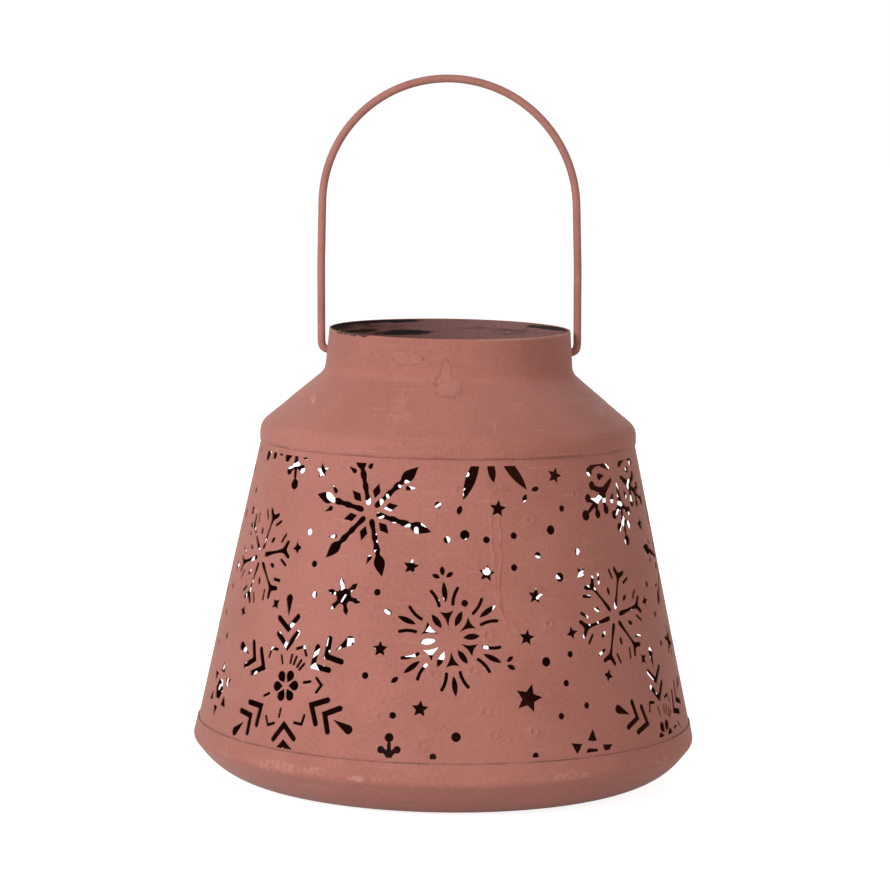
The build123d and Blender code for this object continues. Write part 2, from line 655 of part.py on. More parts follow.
with BuildPart() as upper_seam_solder:
    with BuildSketch(Plane.XZ):
        low = CONE_HIGH_HEIGHT + SOLDER_START
        top = low + SOLDER_LEG
        outside = SKIRT_RADIUS - SHEET - SOLDER_GAP
        draw_polygon([(outside, low), (outside, top), (cone_radius(top) + SOLDER_GAP, top),
                      (cone_radius(low) + SOLDER_GAP, low)])
    revolve(axis=Axis.Z)

with BuildPart() as lap_seam_solder:
    with BuildSketch(side_plane(SEAM_TURN + LAP_TURN / 2 + degrees(SOLDER_GAP / CONE_LOW_RADIUS))):
        wall_profile(CONE_BOTTOM, CONE_TOP, 1.0 + SOLDER_GAP / SHEET)
    revolve(axis=Axis.Z, revolution_arc=SEAM_SOLDER_TURN)

os.makedirs("parts", exist_ok=True)
base_pan.part.label = "base_pan"
punched_body.part.label = "punched_body"
shoulder_neck.part.label = "shoulder_neck"
bail_handle.part.label = "bail_handle"
lower_seam_solder.part.label = "lower_seam_solder"
upper_seam_solder.part.label = "upper_seam_solder"
lap_seam_solder.part.label = "lap_seam_solder"
export_step(base_pan.part, "parts/base_pan.step")
export_step(punched_body.part, "parts/punched_body.step", write_pcurves=False)
export_step(shoulder_neck.part, "parts/shoulder_neck.step")
export_step(bail_handle.part, "parts/bail_handle.step")
export_step(lower_seam_solder.part, "parts/lower_seam_solder.step")
export_step(upper_seam_solder.part, "parts/upper_seam_solder.step")
export_step(lap_seam_solder.part, "parts/lap_seam_solder.step")
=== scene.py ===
"""Punched tin lantern: painted sheets, wire bail and studio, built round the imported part."""

import json
import logging
import math
from dataclasses import dataclass, field
from enum import IntEnum

import bpy
import numpy as np
from mathutils import Matrix, Vector
from mathutils.geometry import delaunay_2d_cdt

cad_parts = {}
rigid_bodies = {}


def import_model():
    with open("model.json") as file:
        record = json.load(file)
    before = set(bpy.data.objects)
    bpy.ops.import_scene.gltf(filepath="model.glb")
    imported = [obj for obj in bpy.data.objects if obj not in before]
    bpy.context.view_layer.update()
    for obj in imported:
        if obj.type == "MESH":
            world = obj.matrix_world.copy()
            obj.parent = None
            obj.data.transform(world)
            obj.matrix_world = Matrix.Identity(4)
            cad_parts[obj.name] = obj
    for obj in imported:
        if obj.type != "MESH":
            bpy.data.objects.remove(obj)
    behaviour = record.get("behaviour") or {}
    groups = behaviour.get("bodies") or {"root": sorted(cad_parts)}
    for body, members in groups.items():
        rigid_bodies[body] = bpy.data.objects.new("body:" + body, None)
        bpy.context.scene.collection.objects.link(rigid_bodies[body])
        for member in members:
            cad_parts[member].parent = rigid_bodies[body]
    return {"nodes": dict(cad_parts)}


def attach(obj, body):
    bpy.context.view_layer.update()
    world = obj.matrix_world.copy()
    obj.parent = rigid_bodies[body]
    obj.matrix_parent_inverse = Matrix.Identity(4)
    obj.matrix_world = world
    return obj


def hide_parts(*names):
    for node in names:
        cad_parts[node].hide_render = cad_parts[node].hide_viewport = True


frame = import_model()
log = logging.getLogger("lantern")

MM = 0.001
SIX = 6
SIXTH = 60.0
TINY = 1e-9
MERGE_REACH = 1e-6
SHARPEST_MITRE = 0.5
WHITE = (1.0, 1.0, 1.0, 1.0)
BLACK = (0.0, 0.0, 0.0, 1.0)
BOTH_SIDES = (1, -1)


class Coat(IntEnum):
    """Which side of the tin a face belongs to."""

    OUTSIDE = 0
    INSIDE = 1


def ray(length: float, angle: float) -> np.ndarray:
    """Point at a length along an angle.

    Args:
        length: distance from the middle.
        angle: direction in degrees.

    Returns:
        The point as x and y.
    """
    return length * np.array([math.cos(math.radians(angle)), math.sin(math.radians(angle))])


def turned(points: np.ndarray, angle: float, at: tuple[float, float] = (0.0, 0.0)) -> np.ndarray:
    """Points turned about the middle and then moved.

    Args:
        points: rows of x and y.
        angle: turn in degrees.
        at: where the middle goes.

    Returns:
        The moved rows.
    """
    c, s = ray(1.0, angle)
    return np.asarray(points, float) @ np.array([[c, s], [-s, c]]) + np.asarray(at, float)


def smooth(value: np.ndarray, low: float, high: float) -> np.ndarray:
    """Smooth step from 0 at low to 1 at high."""
    t = np.clip((value - low) / (high - low), 0.0, 1.0)
    return t * t * (3.0 - 2.0 * t)


def arc(first: np.ndarray, middle: np.ndarray, last: np.ndarray, steps: int) -> np.ndarray:
    """Circular arc through three points, without its last point.

    Args:
        first: start of the arc.
        middle: a point on the way.
        last: end of the arc.
        steps: how many points to give.

    Returns:
        Rows of x and y, from first on.
    """
    first, middle, last = (np.asarray(p, float) for p in (first, middle, last))
    lines = 2.0 * np.array([middle - first, last - first])
    centre = np.linalg.solve(lines, [middle @ middle - first @ first, last @ last - first @ first])
    radius = np.hypot(*(first - centre))
    start, via, end = (math.atan2(*(p - centre)[::-1]) for p in (first, middle, last))
    sweep = (end - start) % math.tau
    if (via - start) % math.tau > sweep:
        sweep -= math.tau
    angles = start + sweep * np.arange(steps) / steps
    return centre + radius * np.stack([np.cos(angles), np.sin(angles)], 1)


def rounded(corners: list[tuple[float, float]], bends: list[float], steps: int = 16) -> np.ndarray:
    """Line through corners with each bend rounded off.

    Args:
        corners: points of the sharp line.
        bends: radius at each inner corner.
        steps: points in each bend.

    Returns:
        Rows of the rounded line.
    """
    points = np.asarray(corners, float)
    rows = [points[:1]]
    for here, before, after, bend in zip(points[1:-1], points[:-2], points[2:], bends):
        back = (before - here) / np.hypot(*(before - here))
        on = (after - here) / np.hypot(*(after - here))
        half = math.acos(np.clip(back @ on, -1.0, 1.0)) / 2.0
        reach = bend / math.tan(half)
        inward = (back + on) / np.hypot(*(back + on))
        centre = here + inward * bend / math.sin(half)
        crown = centre - inward * bend
        rows.append(arc(here + back * reach, crown, here + on * reach, steps))
        rows.append((here + on * reach)[None])
    rows.append(points[-1:])
    return np.concatenate(rows)


def soften(line: np.ndarray) -> np.ndarray:
    """Open line with its inner corners cut once, ends kept."""
    near = line[:-1] * 0.75 + line[1:] * 0.25
    far = line[:-1] * 0.25 + line[1:] * 0.75
    inner = np.stack([near, far], 1).reshape(-1, 2)[1:-1]
    return np.concatenate([line[:1], inner, line[-1:]])


def inside(points: np.ndarray, outline: np.ndarray) -> np.ndarray:
    """Which points lie inside a closed outline, by counting crossings.

    Args:
        points: rows of x and y.
        outline: corners in order.

    Returns:
        One flag for each point.
    """
    flags = np.zeros(len(points), bool)
    low, high = outline.min(0), outline.max(0)
    near = np.where(np.all((points >= low) & (points <= high), axis=1))[0]
    if len(near) == 0:
        return flags
    p = points[near][:, None, :]
    a = outline[None]
    b = np.roll(outline, -1, axis=0)[None]
    spans = (a[..., 1] > p[..., 1]) != (b[..., 1] > p[..., 1])
    rise = np.where(spans, b[..., 1] - a[..., 1], 1.0)
    cross = a[..., 0] + (p[..., 1] - a[..., 1]) / rise * (b[..., 0] - a[..., 0])
    flags[near] = np.sum(spans & (p[..., 0] < cross), axis=1) % 2 == 1
    return flags


def triangulate(points: np.ndarray, edges: np.ndarray) -> tuple[np.ndarray, np.ndarray, list[list[int]]]:
    """Triangles over points that keep the given edges.

    Args:
        points: rows of x and y.
        edges: pairs of point numbers.

    Returns:
        The points, the triangles and, for each point, the given ones that it stands for.
    """
    spots = [Vector(row) for row in points.tolist()]
    made = delaunay_2d_cdt(spots, edges.tolist(), [], 0, MERGE_REACH)
    return np.array([v[:] for v in made[0]]), np.array(made[2]), made[3]


def ring_edges(count: int, start: int) -> np.ndarray:
    """Edges of a closed ring of points numbered from start."""
    first = np.arange(count)
    return np.stack([first, (first + 1) % count], 1) + start


def widened(outline: np.ndarray, amount: float) -> np.ndarray:
    """Counter-clockwise outline moved outward, with its corners mitred.

    Args:
        outline: corners in order.
        amount: how far to move.

    Returns:
        The moved corners.
    """
    step = np.roll(outline, -1, axis=0) - outline
    step /= np.maximum(np.hypot(step[:, 0], step[:, 1]), TINY)[:, None]
    after = np.stack([step[:, 1], -step[:, 0]], 1)
    before = np.roll(after, 1, axis=0)
    mitre = (before + after) / np.maximum(1.0 + np.sum(before * after, 1), SHARPEST_MITRE)[:, None]
    return outline + mitre * amount


def area(outline: np.ndarray) -> float:
    """Area of a closed outline, negative where its corners run clockwise."""
    x, y = outline.T
    return 0.5 * np.sum(x * np.roll(y, -1) - np.roll(x, -1) * y)


def anticlockwise(outline: np.ndarray) -> np.ndarray:
    """The outline with its corners in anticlockwise order."""
    return outline if area(outline) > 0.0 else outline[::-1]


def wound(flat: np.ndarray, triangles: np.ndarray) -> tuple[np.ndarray, np.ndarray]:
    """Triangles all wound anticlockwise, by the cross product of two of their sides.

    Args:
        flat: rows of x and y.
        triangles: rows of point numbers, which are turned round in place.

    Returns:
        The triangles and twice the area of each.
    """
    a, b, c = (flat[triangles[:, k]] for k in range(3))
    twist = (b[:, 0] - a[:, 0]) * (c[:, 1] - a[:, 1]) - (b[:, 1] - a[:, 1]) * (c[:, 0] - a[:, 0])
    triangles[twist < 0.0] = triangles[twist < 0.0][:, ::-1]
    return triangles, np.abs(twist)


class Punch:
    """Outlines of the punches, each lying along x with its middle at the origin of its flake."""

    @staticmethod
    def mirrored(half_widths: tuple[tuple[float, float], ...]) -> np.ndarray:
        """Arm from half widths along a spoke, with softened corners."""
        upper = soften(np.array(half_widths))
        lower = upper[::-1] * [1.0, -1.0]
        return np.concatenate([upper, lower[1:-1]])

    @staticmethod
    def lens(length: float, width: float, steps: int = 7) -> np.ndarray:
        """Two arcs that meet in points."""
        left, right = (-length / 2, 0.0), (length / 2, 0.0)
        low = arc(left, (0.0, -width / 2), right, steps)
        return np.concatenate([low, arc(right, (0.0, width / 2), left, steps)])

    @staticmethod
    def drop(length: float, width: float, steps: int = 9) -> np.ndarray:
        """Point at the origin joined by tangents to a round end.

        Args:
            length: from the point to the far side of the round end.
            width: across the round end.
            steps: points round the end.

        Returns:
            Rows of x and y.
        """
        radius = width / 2
        reach = length - radius
        touch = math.pi - math.acos(radius / reach)
        angles = np.linspace(-touch, touch, steps)
        end = np.stack([reach + radius * np.cos(angles), radius * np.sin(angles)], 1)
        return np.concatenate([[[0.0, 0.0]], end])

    @staticmethod
    def slot(length: float, width: float, steps: int = 5) -> np.ndarray:
        """Straight stroke with round ends."""
        angles = np.linspace(-math.pi / 2, math.pi / 2, steps)
        reach = (length - width) / 2
        end = np.stack([reach + width / 2 * np.cos(angles), width / 2 * np.sin(angles)], 1)
        return np.concatenate([end, -end])

    @staticmethod
    def dot(radius: float, steps: int = 14) -> np.ndarray:
        """Round hole."""
        angles = np.arange(steps) * math.tau / steps
        return radius * np.stack([np.cos(angles), np.sin(angles)], 1)

    @staticmethod
    def star(reach: float, waist: float, points: int) -> np.ndarray:
        """Star with straight sides."""
        angles = np.arange(2 * points) * math.pi / points
        radii = np.where(np.arange(2 * points) % 2 == 0, reach, waist)
        return radii[:, None] * np.stack([np.cos(angles), np.sin(angles)], 1)

    @staticmethod
    def kite(near: float, widest: float, far: float, half: float) -> np.ndarray:
        """Four-sided diamond along the spoke."""
        return np.array([(near, 0.0), (widest, -half), (far, 0.0), (widest, half)])

    @staticmethod
    def arrow(apex: float, end: float, swing: float, width: float, steps: int = 5) -> np.ndarray:
        """Two straight limbs with round ends that meet at a point on the spoke.

        Args:
            apex: how far out the limbs meet.
            end: how far out the limbs end.
            swing: how far off the spoke they end, in degrees.
            width: across a limb.
            steps: points round each end.

        Returns:
            Rows of x and y.
        """
        tip = ray(end, swing) - [apex, 0.0]
        limb = math.atan2(tip[1], tip[0])
        mitre = np.clip(width / 2 / math.sin(limb), -width, width)
        along = ray(width / 2, math.degrees(limb))
        across = np.array([-along[1], along[0]])
        cap = arc(tip - across, tip + along, tip + across, steps)
        upper = np.concatenate([[[mitre, 0.0]], cap, [tip + across], [[-mitre, 0.0]]])
        lower = upper[1:-1][::-1] * [1.0, -1.0]
        return np.concatenate([upper, lower]) + [apex, 0.0]

    @staticmethod
    def horn(inner: float, outer: float, swing: float, sag: float, steps: int = 5) -> np.ndarray:
        """Triangle whose three sides are arcs that bow inward.

        Args:
            inner: how far out its inner corner is.
            outer: how far out its two outer corners are.
            swing: how far off the spoke the outer corners are, in degrees.
            sag: how far each side bows inward.
            steps: points along each side.

        Returns:
            Rows of x and y.
        """
        corners = [np.array([inner, 0.0]), ray(outer, -swing), ray(outer, swing)]
        middle = sum(corners) / 3
        rows = []
        for first, last in zip(corners, corners[1:] + corners[:1]):
            half = (first + last) / 2
            pull = (middle - half) / np.hypot(*(middle - half))
            rows.append(arc(first, half + pull * sag, last, steps))
        return np.concatenate(rows)

    @staticmethod
    def bow(length: float, width: float, bend: float, steps: int = 6, blunt: float = 0.35) -> np.ndarray:
        """Bent stroke with blunt ends: a shallow parabola, widened along its normals.

        Args:
            length: straight from end to end.
            width: across the stroke.
            bend: how far its middle stands off the straight line.
            steps: points along it.
            blunt: how far the ends stand out, in widths.

        Returns:
            Rows of x and y.
        """
        t = np.linspace(-1.0, 1.0, steps + 1)
        line = np.stack([t * length / 2, bend * (1.0 - t * t)], 1)
        along = np.stack([np.ones_like(t), -4.0 * bend * t / length], 1)
        along /= np.hypot(along[:, 0], along[:, 1])[:, None]
        across = np.stack([-along[:, 1], along[:, 0]], 1) * width / 2
        tips = line[[-1, 0]] + along[[-1, 0]] * [[width * blunt], [-width * blunt]]
        return np.concatenate([line - across, tips[:1], (line + across)[::-1], tips[1:]])

    @staticmethod
    def branch(root: tuple, middle: tuple, tip: tuple, width: float, steps: int = 5) -> np.ndarray:
        """Bent limb between two arcs, each half a width off the line through three places.

        Args:
            root: where the limb leaves the stem.
            middle: a place on the way.
            tip: where it ends.
            width: across the limb.
            steps: points along each arc.

        Returns:
            Rows of x and y.
        """
        spots = np.array([root, middle, tip], float)
        ways = np.array([spots[1] - spots[0], spots[2] - spots[0], spots[2] - spots[1]])
        size = np.hypot(ways[:, 0], ways[:, 1])[:, None]
        across = np.stack([-ways[:, 1], ways[:, 0]], 1) / size * width / 2
        right, left = spots - across, spots + across
        return np.concatenate([arc(*right, steps), right[2:], arc(*left[::-1], steps), left[:1]])


@dataclass
class SnowPattern:
    """Snowflakes, stars and dots on the flat sheet, repeated round it by whole pitches.

    Places are x to the right and y up from the lower seam at the front, in millimetres.
    """

    pitch_angle: float = 16.0
    pitch_centre: tuple[float, float] = (82.2, 724.8)
    pitch_copies: range = range(-3, 2)
    slip_centre: tuple[float, float] = (5.0, 65.0)
    shapes: list[np.ndarray] = field(default_factory=list)

    pitch_slip = {-3: (0.32, 0.7, 0.7), -2: (0.32, 0.7, 0.7), -1: (0.0, 0.0, 0.0), 0: (0.0, 0.0, 0.0),
                  1: (-0.6, 1.7, 1.1)}
    beaded_at = (-33.75, 107.55, 42.0)
    beaded_arm = ((3.2, 0.0), (3.7, 0.9), (4.9, 1.15), (8.8, 0.6), (11.3, 1.3), (13.6, 0.6), (16.6, 1.45),
                  (19.0, 0.55), (20.7, 1.9), (22.6, 2.4), (24.6, 1.8), (28.3, 0.0))
    beaded_kite = (6.6, 9.2, 12.6, 1.65)
    beaded_barbs = ((-1,), (1, -1), (1, -1), (-1,), (-1,), ())
    barb_size = (4.2, 1.7)
    barb_lean = 40.0
    barb_out = 20.7
    barb_swing = 13.0
    petal_at = (2.0, 53.25, 37.0)
    petal_horn = (5.3, 12.1, 13.4, 0.75)
    petal_near = (6.4, 2.2)
    petal_near_out = 9.4
    petal_far = (8.2, 1.9)
    petal_far_out = 20.1
    petal_stroke = ((14.7, 11.5), (22.0, 15.2))
    petal_stroke_width = 1.0
    petal_stroke_bend = 0.55
    petal_tips = ((), (0, 1, -1), (0,), (0,), (), (0, 1))
    tip_size = (3.4, 1.7)
    tip_out = 29.2
    tip_side = (3.0, 1.5)
    tip_side_lean = 62.0
    tip_side_out = 27.4
    tip_side_swing = 6.1
    arrow_at = (-74.55, 33.4, 30.0)
    arrow_hub = (5.15, 4.0)
    arrow_hub_out = 1.9
    arrow_heads = ((16.8, 23.6, 14.2, 2.1), (24.7, 30.4, 10.9, 2.1))
    arrow_end = (10.0, 3.6)
    arrow_end_out = 29.7
    arrow_thin = (19.3, 17.0, 10.2, 0.9)
    arrow_thins = (0, 1, 3, 4, 5)
    arrow_stroke = (4.3, 0.8)
    arrow_stroke_out = 11.9
    arrow_strokes = (103.5, 77.0, 65.6, 52.4, 42.8, 6.9, 197.0, 257.3)
    fork_at = (82.95, 66.3, 19.3)
    fork_arm = ((3.3, 0.0), (3.6, 0.75), (5.0, 0.95), (7.0, 0.8), (10.0, 0.5), (14.0, 0.48), (16.2, 0.7),
                (17.8, 1.2), (20.3, 4.0), (21.5, 3.65), (21.5, 3.0), (19.8, 0.75), (19.6, 0.0))
    fork_star = (2.7, 1.15, 4)
    fork_star_out = 26.7
    fork_stars = (0, 2, 3, 4, 5)
    fork_lens = (3.3, 1.6)
    fork_lens_out = 11.3
    fork_stroke = (4.8, 0.95)
    fork_stroke_out = 18.5
    fork_stroke_swing = 13.0
    curl_at = (87.7, 130.35, 44.5)
    curl_small_at = (-23.3, -13.0, 30.0)
    curl_small = 0.8
    curl_stem = ((4.5, 0.0), (4.9, 0.8), (9.0, 1.3), (12.5, 1.6), (16.5, 1.1), (20.5, 1.05), (28.6, 0.6),
                 (28.7, 0.0))
    curl_lobes = ((17.9, 6.7, 1.85), (23.9, 4.4, 1.75))
    curl_branches = ((11.0, 16.0, 3.0, 2.2), (18.5, 22.1, 1.5, 2.0))
    curl_lobe_steps = 12
    curl_tip = 2.15
    curl_tip_out = 30.3
    curl_drop = (5.0, 2.7)
    curl_drop_out = 9.3
    leaf_at = (16.35, 140.0, 11.0)
    leaf_long = (20.0, 4.1, 10)
    leaf_long_out = 18.6
    leaf_short = (10.4, 3.1)
    leaf_short_out = 14.4
    leaf_tip = (3.6, 1.9)
    leaf_tip_out = 33.5
    leaf_pair = (3.4, 1.8)
    leaf_pair_lean = 65.0
    leaf_pair_out = 31.2
    leaf_pair_swing = 6.0
    flower_at = (68.45, 3.85, 30.5)
    flower_hub = 4.8
    flower_petal = (7.75, 8.05, 12.5, 2.3)
    sun_at = (-45.35, 71.45, 40.0)
    sun_hub = (3.3, 18)
    sun_ray = ((2.4, 0.95), (4.6, 0.65), (6.4, 0.98), (8.1, 0.0))
    own_shift = {(petal_at, -2): (-3.0, -1.75), (flower_at, -2): (-1.2, -2.6), (petal_at, -1): (0.75, -1.0),
                 (arrow_at, -1): (-1.75, -0.75), (curl_at, -1): (1.5, 0.25), (fork_at, -1): (0.5, 0.25),
                 (flower_at, -1): (2.4, -1.05), (beaded_at, 1): (0.5, 0.25)}
    star_waist = 0.45
    star_points = 5
    stars = ((-58.6, 126.4, 3.3, 90.0), (-15.0, 84.0, 3.2, 80.0), (17.5, 81.5, 3.4, 84.0),
             (48.8, 125.2, 3.5, 78.0), (22.1, 109.4, 3.5, 85.0), (39.6, 72.6, 3.3, 86.0),
             (35.7, 54.6, 3.3, 84.0), (36.9, 28.8, 6.1, 78.0), (-28.0, 48.8, 3.2, 88.0),
             (-10.2, 23.5, 3.4, 85.0))
    dots_small = ((-64.6, 100.0), (-61.0, 85.9), (-60.3, 72.6), (-29.7, 73.0), (-3.9, 110.4), (0.2, 95.6),
                  (17.2, 95.9), (29.3, 98.1), (52.5, 111.1), (40.5, 90.2), (29.6, 84.4), (60.9, 92.9),
                  (8.2, 68.6), (56.8, 48.3), (54.8, 35.8), (65.3, 26.6), (52.4, 21.6), (-34.5, 37.5),
                  (-21.9, 20.6), (40.3, 4.5), (-4.4, 3.3))
    dots_large = ((7.8, 97.8), (46.8, 101.4), (51.4, 81.3), (44.9, 44.6), (5.3, 11.8))
    dot_small = 1.25
    dot_large = 1.85

    @staticmethod
    def out(shape: np.ndarray, distance: float, angle: float) -> np.ndarray:
        """A shape carried out along a spoke."""
        return turned(shape + [distance, 0.0], angle)

    def beaded(self) -> list[np.ndarray]:
        """Six beaded arms with spear tips, kites between them and barbs by the tips.

        Returns:
            The outlines about the flake's middle.
        """
        made = []
        barb = Punch.drop(*self.barb_size) * [-1.0, 1.0] + [self.barb_size[0] / 2, 0.0]
        for k in range(SIX):
            spin = k * SIXTH
            made.append(turned(Punch.mirrored(self.beaded_arm), spin))
            made.append(turned(Punch.kite(*self.beaded_kite), spin + SIXTH / 2))
            for side in self.beaded_barbs[k]:
                spot = ray(self.barb_out, spin + side * self.barb_swing)
                made.append(turned(barb, spin + side * self.barb_lean, spot))
        return made

    def petal(self) -> list[np.ndarray]:
        """A ring of horned triangles and lenses inside six sprays.

        Returns:
            The outlines about the flake's middle.
        """
        made = []
        for k in range(SIX):
            spin = k * SIXTH
            made.append(turned(Punch.horn(*self.petal_horn), spin))
            made.append(self.out(Punch.lens(*self.petal_near), self.petal_near_out, spin + SIXTH / 2))
            made.append(self.out(Punch.lens(*self.petal_far), self.petal_far_out, spin))
            for side in BOTH_SIDES:
                first, last = (ray(reach, side * swing) for reach, swing in self.petal_stroke)
                lean = math.degrees(math.atan2(*(last - first)[::-1]))
                bend = -side * self.petal_stroke_bend
                stroke = Punch.bow(np.hypot(*(last - first)), self.petal_stroke_width, bend)
                made.append(turned(turned(stroke, lean, (first + last) / 2), spin))
            for tip in self.petal_tips[k]:
                if tip == 0:
                    made.append(self.out(Punch.lens(*self.tip_size), self.tip_out, spin))
                else:
                    spot = ray(self.tip_side_out, tip * self.tip_side_swing)
                    one = turned(Punch.lens(*self.tip_side), tip * self.tip_side_lean, spot)
                    made.append(turned(one, spin))
        return made

    def arrow(self) -> list[np.ndarray]:
        """Six arms of two arrows and a drop, a hub of six drops and thin strokes between.

        Returns:
            The outlines about the flake's middle.
        """
        made = []
        for k in range(SIX):
            spin = k * SIXTH
            made.append(self.out(Punch.drop(*self.arrow_hub), self.arrow_hub_out, spin + SIXTH / 2))
            made.extend(turned(Punch.arrow(*head), spin) for head in self.arrow_heads)
            made.append(self.out(Punch.drop(*self.arrow_end), self.arrow_end_out, spin))
            if k in self.arrow_thins:
                made.append(turned(Punch.arrow(*self.arrow_thin), spin + SIXTH / 2))
        stroke = Punch.slot(*self.arrow_stroke)
        for spin in self.arrow_strokes:
            made.append(self.out(stroke, self.arrow_stroke_out, spin - self.arrow_at[2]))
        return made

    def fork(self) -> list[np.ndarray]:
        """Six forked arms with a small star beyond each, lenses and strokes between.

        Returns:
            The outlines about the flake's middle.
        """
        made = []
        for k in range(SIX):
            spin = k * SIXTH
            made.append(turned(Punch.mirrored(self.fork_arm), spin))
            if k in self.fork_stars:
                made.append(self.out(Punch.star(*self.fork_star), self.fork_star_out, spin))
            made.append(self.out(Punch.lens(*self.fork_lens), self.fork_lens_out, spin + SIXTH / 2))
            for side in BOTH_SIDES:
                swing = side * self.fork_stroke_swing
                stroke = turned(Punch.slot(*self.fork_stroke), -swing, ray(self.fork_stroke_out, swing))
                made.append(turned(stroke, spin + SIXTH / 2))
        return made

    def curl(self) -> list[np.ndarray]:
        """Six stems with paired round lobes and a drop between each two.

        Returns:
            The outlines about the flake's middle.
        """
        made = []
        for k in range(SIX):
            spin = k * SIXTH
            made.append(turned(Punch.mirrored(self.curl_stem), spin))
            made.append(self.out(Punch.dot(self.curl_tip), self.curl_tip_out, spin))
            for (along, across, radius), (root, *bend, width) in zip(self.curl_lobes, self.curl_branches):
                for side in BOTH_SIDES:
                    lobe = (along, side * across)
                    made.append(turned(Punch.dot(radius, self.curl_lobe_steps) + lobe, spin))
                    bent = Punch.branch((root, 0.0), (bend[0], side * bend[1]), lobe, width)
                    made.append(turned(bent, spin))
            made.append(self.out(Punch.drop(*self.curl_drop), self.curl_drop_out, spin + SIXTH / 2))
        return made

    def leaf(self) -> list[np.ndarray]:
        """Long and short leaves by turns with one or two small leaves beyond each long tip.

        Returns:
            The outlines about the flake's middle.
        """
        made = []
        for k in range(SIX):
            spin = k * SIXTH
            made.append(self.out(Punch.lens(*self.leaf_long), self.leaf_long_out, spin))
            made.append(self.out(Punch.lens(*self.leaf_short), self.leaf_short_out, spin + SIXTH / 2))
            if k % 2 == 0:
                made.append(self.out(Punch.lens(*self.leaf_tip), self.leaf_tip_out, spin))
            else:
                for side in BOTH_SIDES:
                    spot = ray(self.leaf_pair_out, side * self.leaf_pair_swing)
                    tip = turned(Punch.lens(*self.leaf_pair), side * self.leaf_pair_lean, spot)
                    made.append(turned(tip, spin))
        return made

    def flower(self) -> list[np.ndarray]:
        """A six-sided hub inside six pointed petals."""
        petals = [turned(Punch.kite(*self.flower_petal), k * SIXTH) for k in range(SIX)]
        return [turned(Punch.star(self.flower_hub, self.flower_hub, SIX // 2), SIXTH / 2), *petals]

    def sun(self) -> list[np.ndarray]:
        """A round hub with six rays."""
        half = np.array(self.sun_ray)
        one = np.concatenate([half, half[:-1][::-1] * [1.0, -1.0]])
        return [Punch.dot(*self.sun_hub), *(turned(one, k * SIXTH) for k in range(SIX))]

    def place(self, shapes: list[np.ndarray], at: tuple[float, float, float], copy: int,
              factor: float = 1.0) -> None:
        """Add one copy of a flake.

        Args:
            shapes: outlines about the flake's middle.
            at: middle and turn of the first copy.
            copy: how many pitches to carry it round.
            factor: size of the copy.
        """
        lean, left, down = self.pitch_slip[copy]
        centre, slip = np.array(self.pitch_centre), np.array(self.slip_centre)
        spot = turned(np.array([at[:2]]) - [left, down] - slip, lean, slip)
        spot = turned(spot - centre, copy * self.pitch_angle, centre)[0]
        spot = spot + self.own_shift.get((at, copy), (0.0, 0.0))
        lean += at[2] + copy * self.pitch_angle
        self.shapes.extend(turned(shape * factor, lean, spot) for shape in shapes)

    def lay_out(self) -> list[np.ndarray]:
        """Lay out every copy of every flake, star and dot.

        Returns:
            The outlines, some of which overlap.
        """
        flakes = ((self.beaded(), self.beaded_at, 1.0), (self.petal(), self.petal_at, 1.0),
                  (self.arrow(), self.arrow_at, 1.0), (self.fork(), self.fork_at, 1.0),
                  (self.curl(), self.curl_at, 1.0), (self.curl(), self.curl_small_at, self.curl_small),
                  (self.leaf(), self.leaf_at, 1.0), (self.flower(), self.flower_at, 1.0),
                  (self.sun(), self.sun_at, 1.0))
        for copy in self.pitch_copies:
            for shapes, at, factor in flakes:
                self.place(shapes, at, copy, factor)
            for x, y, reach, turn in self.stars:
                star = Punch.star(reach, reach * self.star_waist, self.star_points)
                self.place([star], (x, y, turn), copy)
            for radius, places in ((self.dot_small, self.dots_small), (self.dot_large, self.dots_large)):
                for x, y in places:
                    self.place([Punch.dot(radius)], (x, y, 0.0), copy)
        return self.shapes


class Surface:
    """Outer face of a sheet as a function of two lengths across it, in millimetres."""

    probe = 0.15

    def outer(self, uv: np.ndarray) -> np.ndarray:
        """Points of the outer face.

        Args:
            uv: rows of the two lengths.

        Returns:
            Rows of x, y and z.
        """
        raise NotImplementedError

    def normal(self, uv: np.ndarray) -> np.ndarray:
        """Outward directions, as cross products of the differences between points a little apart.

        Args:
            uv: rows of the two lengths.

        Returns:
            Rows of unit directions.
        """
        right, up = np.array([self.probe, 0.0]), np.array([0.0, self.probe])
        across = self.outer(uv + right) - self.outer(uv - right)
        along = self.outer(uv + up) - self.outer(uv - up)
        out = np.cross(across, along)
        return out / np.linalg.norm(out, axis=1)[:, None]

    def at(self, uv: np.ndarray, depth: float) -> np.ndarray:
        """Points at a depth under the outer face."""
        return self.outer(uv) - self.normal(uv) * depth


